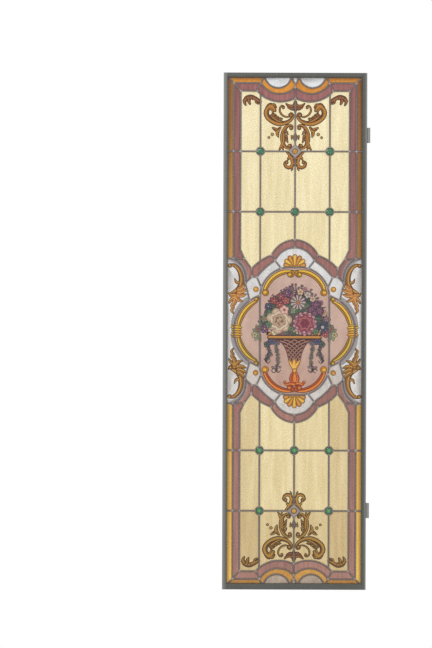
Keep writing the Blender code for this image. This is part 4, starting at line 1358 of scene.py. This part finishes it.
class Finish:
    """A material whose colour, roughness and bump are made with nodes."""

    def __init__(self, name, **plain):
        self.material = bpy.data.materials.new(name)
        self.material.use_nodes = True
        self.tree = self.material.node_tree
        self.shader = self.tree.nodes["Principled BSDF"]
        for socket, value in plain.items():
            self.shader.inputs[socket.replace("_", " ")].default_value = value
        self.place = self.node("ShaderNodeTexCoord").outputs["Object"]

    def node(self, kind, **settings):
        made = self.tree.nodes.new(kind)
        for key, value in settings.items():
            setattr(made, key, value)
        return made

    def put(self, socket, value):
        """Links a value to a socket, or sets it there."""
        if isinstance(value, bpy.types.NodeSocket):
            self.tree.links.new(value, socket)
        elif isinstance(value, tuple) and len(value) == 3 and socket.type == "RGBA":
            socket.default_value = (*linear(value), 1)
        else:
            socket.default_value = value

    def noise(self, size, detail=2.0, roughness=0.5, distortion=0.0):
        """Noise whose grain has the given sizes in millimetres along x, y and z."""
        scaled = self.node("ShaderNodeMapping")
        self.put(scaled.inputs["Vector"], self.place)
        scaled.inputs["Scale"].default_value = [1 / (length * MM) for length in size]
        made = self.node("ShaderNodeTexNoise")
        self.put(made.inputs["Vector"], scaled.outputs["Vector"])
        settings = {"Scale": 1.0, "Detail": detail, "Roughness": roughness, "Distortion": distortion}
        for socket, value in settings.items():
            made.inputs[socket].default_value = value
        return made.outputs["Fac"]

    def cells(self, size):
        """Distance from the middles of scattered cells of the given size in millimetres."""
        made = self.node("ShaderNodeTexVoronoi", feature="SMOOTH_F1")
        self.put(made.inputs["Vector"], self.place)
        made.inputs["Scale"].default_value = 1 / (size * MM)
        return made.outputs["Distance"]

    def spread(self, value, low, high, first=0.0, last=1.0):
        """Maps a range of values to another."""
        made = self.node("ShaderNodeMapRange")
        for socket, setting in zip(made.inputs, (value, low, high, first, last)):
            self.put(socket, setting)
        return made.outputs["Result"]

    def mix(self, share, first, second, blend="MIX"):
        """Mixes two colours."""
        made = self.node("ShaderNodeMix", data_type="RGBA", blend_type=blend)
        self.put(made.inputs[0], share)
        self.put(made.inputs[6], first)
        self.put(made.inputs[7], second)
        return made.outputs[2]

    def maths(self, operation, first, second):
        made = self.node("ShaderNodeMath", operation=operation)
        self.put(made.inputs[0], first)
        self.put(made.inputs[1], second)
        return made.outputs[0]

    def attribute(self, name):
        return self.node("ShaderNodeAttribute", attribute_name=name)

    def parts(self, vector):
        made = self.node("ShaderNodeSeparateXYZ")
        self.put(made.inputs[0], vector)
        return made.outputs

    def height(self):
        """Height on the panel, from 0 at its foot to 1 at its top."""
        return self.spread(self.parts(self.place)["Z"], SASH_LOW.z, SASH_HIGH.z)

    def bump(self, height, depth):
        """Bump of a real depth in millimetres."""
        made = self.node("ShaderNodeBump")
        made.inputs["Distance"].default_value = depth * MM
        self.put(made.inputs["Height"], height)
        self.put(self.shader.inputs["Normal"], made.outputs["Normal"])

    def done(self, colour, roughness=None):
        self.put(self.shader.inputs["Base Color"], colour)
        if roughness is not None:
            self.put(self.shader.inputs["Roughness"], roughness)
        return self.material


def sheet_glass(name, upper, lower, streak, grain, contrast=0.5, roughness=0.25, transmission=0.85):
    """Cathedral glass: streaks drawn out in one direction, a hammered surface, dirt and painted shade along
    the lead, a painted shadow along the frame, painted shade on panes with less light behind them, and the
    fired paint.
    Upper and lower are (light, dark) colours of the two ends of the panel; the change between them is
    painted light, as from an uneven light behind the panel."""
    finish = Finish(name, Transmission_Weight=transmission, IOR=1.5)
    # The colours change from the foot to the top as painted light, standing in for an uneven light behind
    # the panel
    height = finish.height()
    light = finish.mix(height, lower[0], upper[0])
    dark = finish.mix(height, lower[1], upper[1])
    drawn = finish.noise(streak, detail=3.0, roughness=0.55, distortion=0.3)
    fine = finish.noise(grain, detail=2.0, roughness=0.6)
    shade = finish.attribute("shade")
    parts = finish.parts(shade.outputs["Vector"])
    value = finish.maths("ADD", finish.spread(drawn, 0.5 - contrast / 2, 0.5 + contrast / 2),
                         finish.spread(fine, 0.3, 0.7, -0.09, 0.09))
    value = finish.maths("ADD", value, finish.spread(parts["Y"], 0, 1, -0.18, 0.18))
    colour = finish.mix(value, light, dark)
    paint_layer = finish.attribute("paint")
    colour = finish.mix(paint_layer.outputs["Alpha"], colour, paint_layer.outputs["Color"])
    mottle = finish.spread(fine, 0.3, 0.7, 0.0, 0.05)
    # Painted shade of panes that get less light from behind, by each pane's share in the shade attribute
    colour = finish.mix(finish.maths("MULTIPLY", parts["Z"], 0.6), colour, (196, 170, 138), "MULTIPLY")
    colour = finish.mix(mottle, colour, (60, 40, 24), "MULTIPLY")
    # Darkens the glass by dirt and painted shade beside the cames, and by the frame's painted shadow
    colour = finish.mix(parts["X"], colour, (98, 74, 58), "MULTIPLY")
    cells = finish.cells(grain[0] * 1.4)
    finish.bump(finish.maths("ADD", cells, fine), 0.16)
    return finish.done(colour, finish.spread(fine, 0.3, 0.7, roughness - 0.06, roughness + 0.08))


def jewel_glass(name, deep, body, bright):
    """Pressed glass with a painted glow in the middle of the lower jewels, and painted shade that darkens it
    to its rim and on its flute ridges.
    """
    finish = Finish(name, Transmission_Weight=0.8, IOR=1.52)
    parts = finish.parts(finish.attribute("shade").outputs["Vector"])
    cloudy = finish.noise((3, 3, 3), detail=2.0)
    # Painted light and shade: a glow in the middle of the lower jewels, darkening to the rim and on the
    # flute ridges
    painted_glow = finish.mix(finish.maths("ADD", parts["Z"], cloudy), bright, body)
    inner = finish.mix(finish.spread(parts["X"], 0.2, 0.62), painted_glow, body)
    colour = finish.mix(finish.spread(parts["X"], 0.6, 0.98), inner, deep)
    colour = finish.mix(finish.maths("MULTIPLY", parts["Y"], 0.25), colour, deep)
    finish.bump(cloudy, 0.15)
    return finish.done(colour, finish.spread(cloudy, 0.3, 0.7, 0.05, 0.12))


def lead_finish():
    finish = Finish("patinated lead", Metallic=0.35)
    broad = finish.noise((60, 60, 90), detail=3.0)
    fine = finish.noise((2.5, 2.5, 6), detail=4.0, roughness=0.65)
    colour = finish.mix(broad, (74, 66, 60), (102, 93, 90))
    colour = finish.mix(finish.spread(fine, 0.35, 0.7), colour, (122, 114, 112))
    finish.bump(fine, 0.18)
    return finish.done(colour, finish.spread(fine, 0.3, 0.7, 0.42, 0.66))


def solder_finish():
    finish = Finish("tinned solder", Metallic=0.6)
    fine = finish.noise((2, 2, 2), detail=4.0, roughness=0.6)
    broad = finish.noise((30, 30, 30), detail=2.0)
    colour = finish.mix(fine, (126, 114, 110), (172, 160, 156))
    colour = finish.mix(finish.spread(broad, 0.4, 0.7, 0.0, 0.5), colour, (110, 98, 92))
    finish.bump(fine, 0.2)
    return finish.done(colour, finish.spread(fine, 0.3, 0.7, 0.28, 0.5))


def steel_finish():
    """Grey-green paint on steel with light and dark flecks, lighter towards the outer arrises of the stiles:
    part rubbed paint and part painted highlight.
    """
    finish = Finish("painted steel", Metallic=0.0)
    broad = finish.noise((70, 70, 200), detail=4.0)
    fine = finish.noise((3, 3, 8), detail=5.0, roughness=0.65)
    colour = finish.mix(broad, (62, 63, 58), (78, 79, 74))
    colour = finish.mix(finish.spread(fine, 0.56, 0.72, 0.0, 0.5), colour, (108, 107, 101))
    colour = finish.mix(finish.spread(fine, 0.36, 0.26, 0.0, 0.7), colour, (52, 46, 38))
    face_width = FRAME_FACE * MM
    # Lighter towards the outer edge of each stile: part rubbed paint and part painted highlight
    for inner, outer in ((SASH_LOW.x + face_width, SASH_LOW.x), (SASH_HIGH.x - face_width / 2, SASH_HIGH.x)):
        rubbed_and_highlit = finish.spread(finish.parts(finish.place)["X"], inner, outer, 0.0, 0.7)
        colour = finish.mix(rubbed_and_highlit, colour, (136, 136, 132))
    finish.bump(fine, 0.15)
    return finish.done(colour, finish.spread(broad, 0.3, 0.7, 0.42, 0.6))


def finishes():
    """Sheet and jewel finishes by kind, each with the record's material slot."""
    # Each sheet's upper and lower colours differ by painted light, as from an uneven light behind the panel
    return {
        "cream": (sheet_glass("cream cathedral glass", ((254, 243, 204), (238, 222, 176)),
                              ((248, 233, 184), (226, 205, 150)), (14, 14, 170), (5, 5, 7)), "cream_glass"),
        "amber": (sheet_glass("amber glass", ((182, 120, 48), (138, 86, 34)),
                              ((255, 214, 104), (248, 194, 80)), (9, 9, 160), (4, 4, 9)), "amber_glass"),
        "end amber": (sheet_glass("bright amber glass", ((232, 156, 44), (204, 130, 36)),
                                  ((234, 184, 88), (206, 150, 66)), (12, 12, 12), (4, 4, 9)), "amber_glass"),
        "purple": (sheet_glass("purple glass", ((178, 116, 112), (120, 68, 68)),
                               ((194, 144, 126), (142, 100, 92)), (7, 7, 170), (4, 4, 9), 0.6),
                   "purple_glass"),
        "white": (sheet_glass("white cathedral glass", ((238, 240, 241), (214, 217, 220)),
                              ((224, 216, 208), (196, 184, 174)), (18, 18, 30), (5, 5, 5)), "white_glass"),
        "painted": (sheet_glass("painted pink glass", ((236, 212, 198), (214, 182, 168)),
                                ((184, 142, 120), (152, 106, 86)), (30, 30, 60), (5, 5, 5), 0.7, 0.32),
                    "painted_glass"),
        "green": (jewel_glass("green pressed glass", (22, 62, 40), (52, 132, 84), (150, 200, 110)),
                  "green_jewel"),
        "amber jewel": (jewel_glass("amber pressed glass", (110, 70, 14), (206, 152, 44), (240, 204, 100)),
                        "amber_jewel"),
    }


# Stage, light and camera

VIEW_SCALE = 3.481
PHOTO_WIDTH, PHOTO_HEIGHT = 432, 648
PANEL_IN_PHOTO = (294.7, 330.9)
CAMERA_DISTANCE = 6.0
SENSOR = 36
LEAN = -0.2


def set_stage():
    """A pale floor below the sash, which hangs on its hinges, and a white studio round it."""
    half_size, drop = 1.1, 0.5
    x, y, z = MIDDLE.x, MIDDLE.y, SASH_LOW.z - drop
    corners = [(x - half_size, y - half_size, z), (x + half_size, y - half_size, z),
               (x + half_size, y + half_size, z), (x - half_size, y + half_size, z)]
    mesh = bpy.data.meshes.new("studio_floor")
    mesh.from_pydata(corners, [], [(0, 1, 2, 3)])
    floor = bpy.data.objects.new("studio_floor", mesh)
    bpy.context.scene.collection.objects.link(floor)
    pale = Finish("pale floor", Roughness=0.8)
    cloudy = pale.noise((400, 400, 400))
    mesh.materials.append(pale.done(pale.mix(cloudy, (226, 226, 226), (236, 236, 236))))
    world = bpy.data.worlds.new("white studio")
    world.use_nodes = True
    background = world.node_tree.nodes["Background"]
    background.inputs["Color"].default_value = (1, 1, 1, 1)
    background.inputs["Strength"].default_value = 1.0
    bpy.context.scene.world = world


def add_light(name, offset, size, energy):
    """A soft lamp at an offset in metres from the panel's middle, aimed at it."""
    lamp = bpy.data.lights.new(name, "AREA")
    lamp.size = size
    lamp.energy = energy
    made = bpy.data.objects.new(name, lamp)
    made.location = MIDDLE + Vector(offset)
    made.rotation_euler = (MIDDLE - made.location).to_track_quat("-Z", "Y").to_euler()
    bpy.context.scene.collection.objects.link(made)


def set_camera():
    """Stands in front of the panel, which lies right of the middle of the picture."""
    data = bpy.data.cameras.new("camera")
    seen_height = PHOTO_HEIGHT * VIEW_SCALE * MM
    data.sensor_width = SENSOR
    data.lens = SENSOR * CAMERA_DISTANCE / seen_height
    camera = bpy.data.objects.new("camera", data)
    aside = (PANEL_IN_PHOTO[0] - PHOTO_WIDTH / 2) * VIEW_SCALE * MM
    below = (PANEL_IN_PHOTO[1] - PHOTO_HEIGHT / 2) * VIEW_SCALE * MM
    camera.location = (MIDDLE.x - aside, SASH_LOW.y - CAMERA_DISTANCE, MIDDLE.z + below)
    camera.rotation_euler = (math.radians(90), math.radians(LEAN), 0)
    bpy.context.scene.collection.objects.link(camera)
    bpy.context.scene.camera = camera
    bpy.context.scene.view_settings.view_transform = "Standard"


def dress():
    """Builds every piece of the window."""
    painting()
    chance = random.Random(5)
    kinds = finishes()
    tiles = all_tiles()
    places = jewels()
    rings = [ring_outline(centre, radius) for _, _, centre, radius in places]
    outlines = with_tees([outline for _, _, outline, _ in tiles] + rings)
    for (name, kind, _, node), outline in zip(tiles, outlines):
        add_pane(name, kind, outline, node, kinds, chance)
    for name, kind, centre, radius in places:
        add_jewel(name, kind, centre, radius, kinds)
    solder = solder_finish()
    add_cames(outlines, places, lead_finish(), solder)
    add_solder(outlines, len(rings), solder, chance)
    steel = steel_finish()
    for node in ("steel_frame", "hinge_barrel_lower", "hinge_barrel_upper"):
        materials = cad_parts[node].data.materials
        materials.clear()
        materials.append(steel)


dress()
set_stage()
add_light("key", (-1.8, -2.6, 1.9), 1.2, 45)
add_light("fill", (2.2, -2.0, 0.2), 1.6, 12)
set_camera()
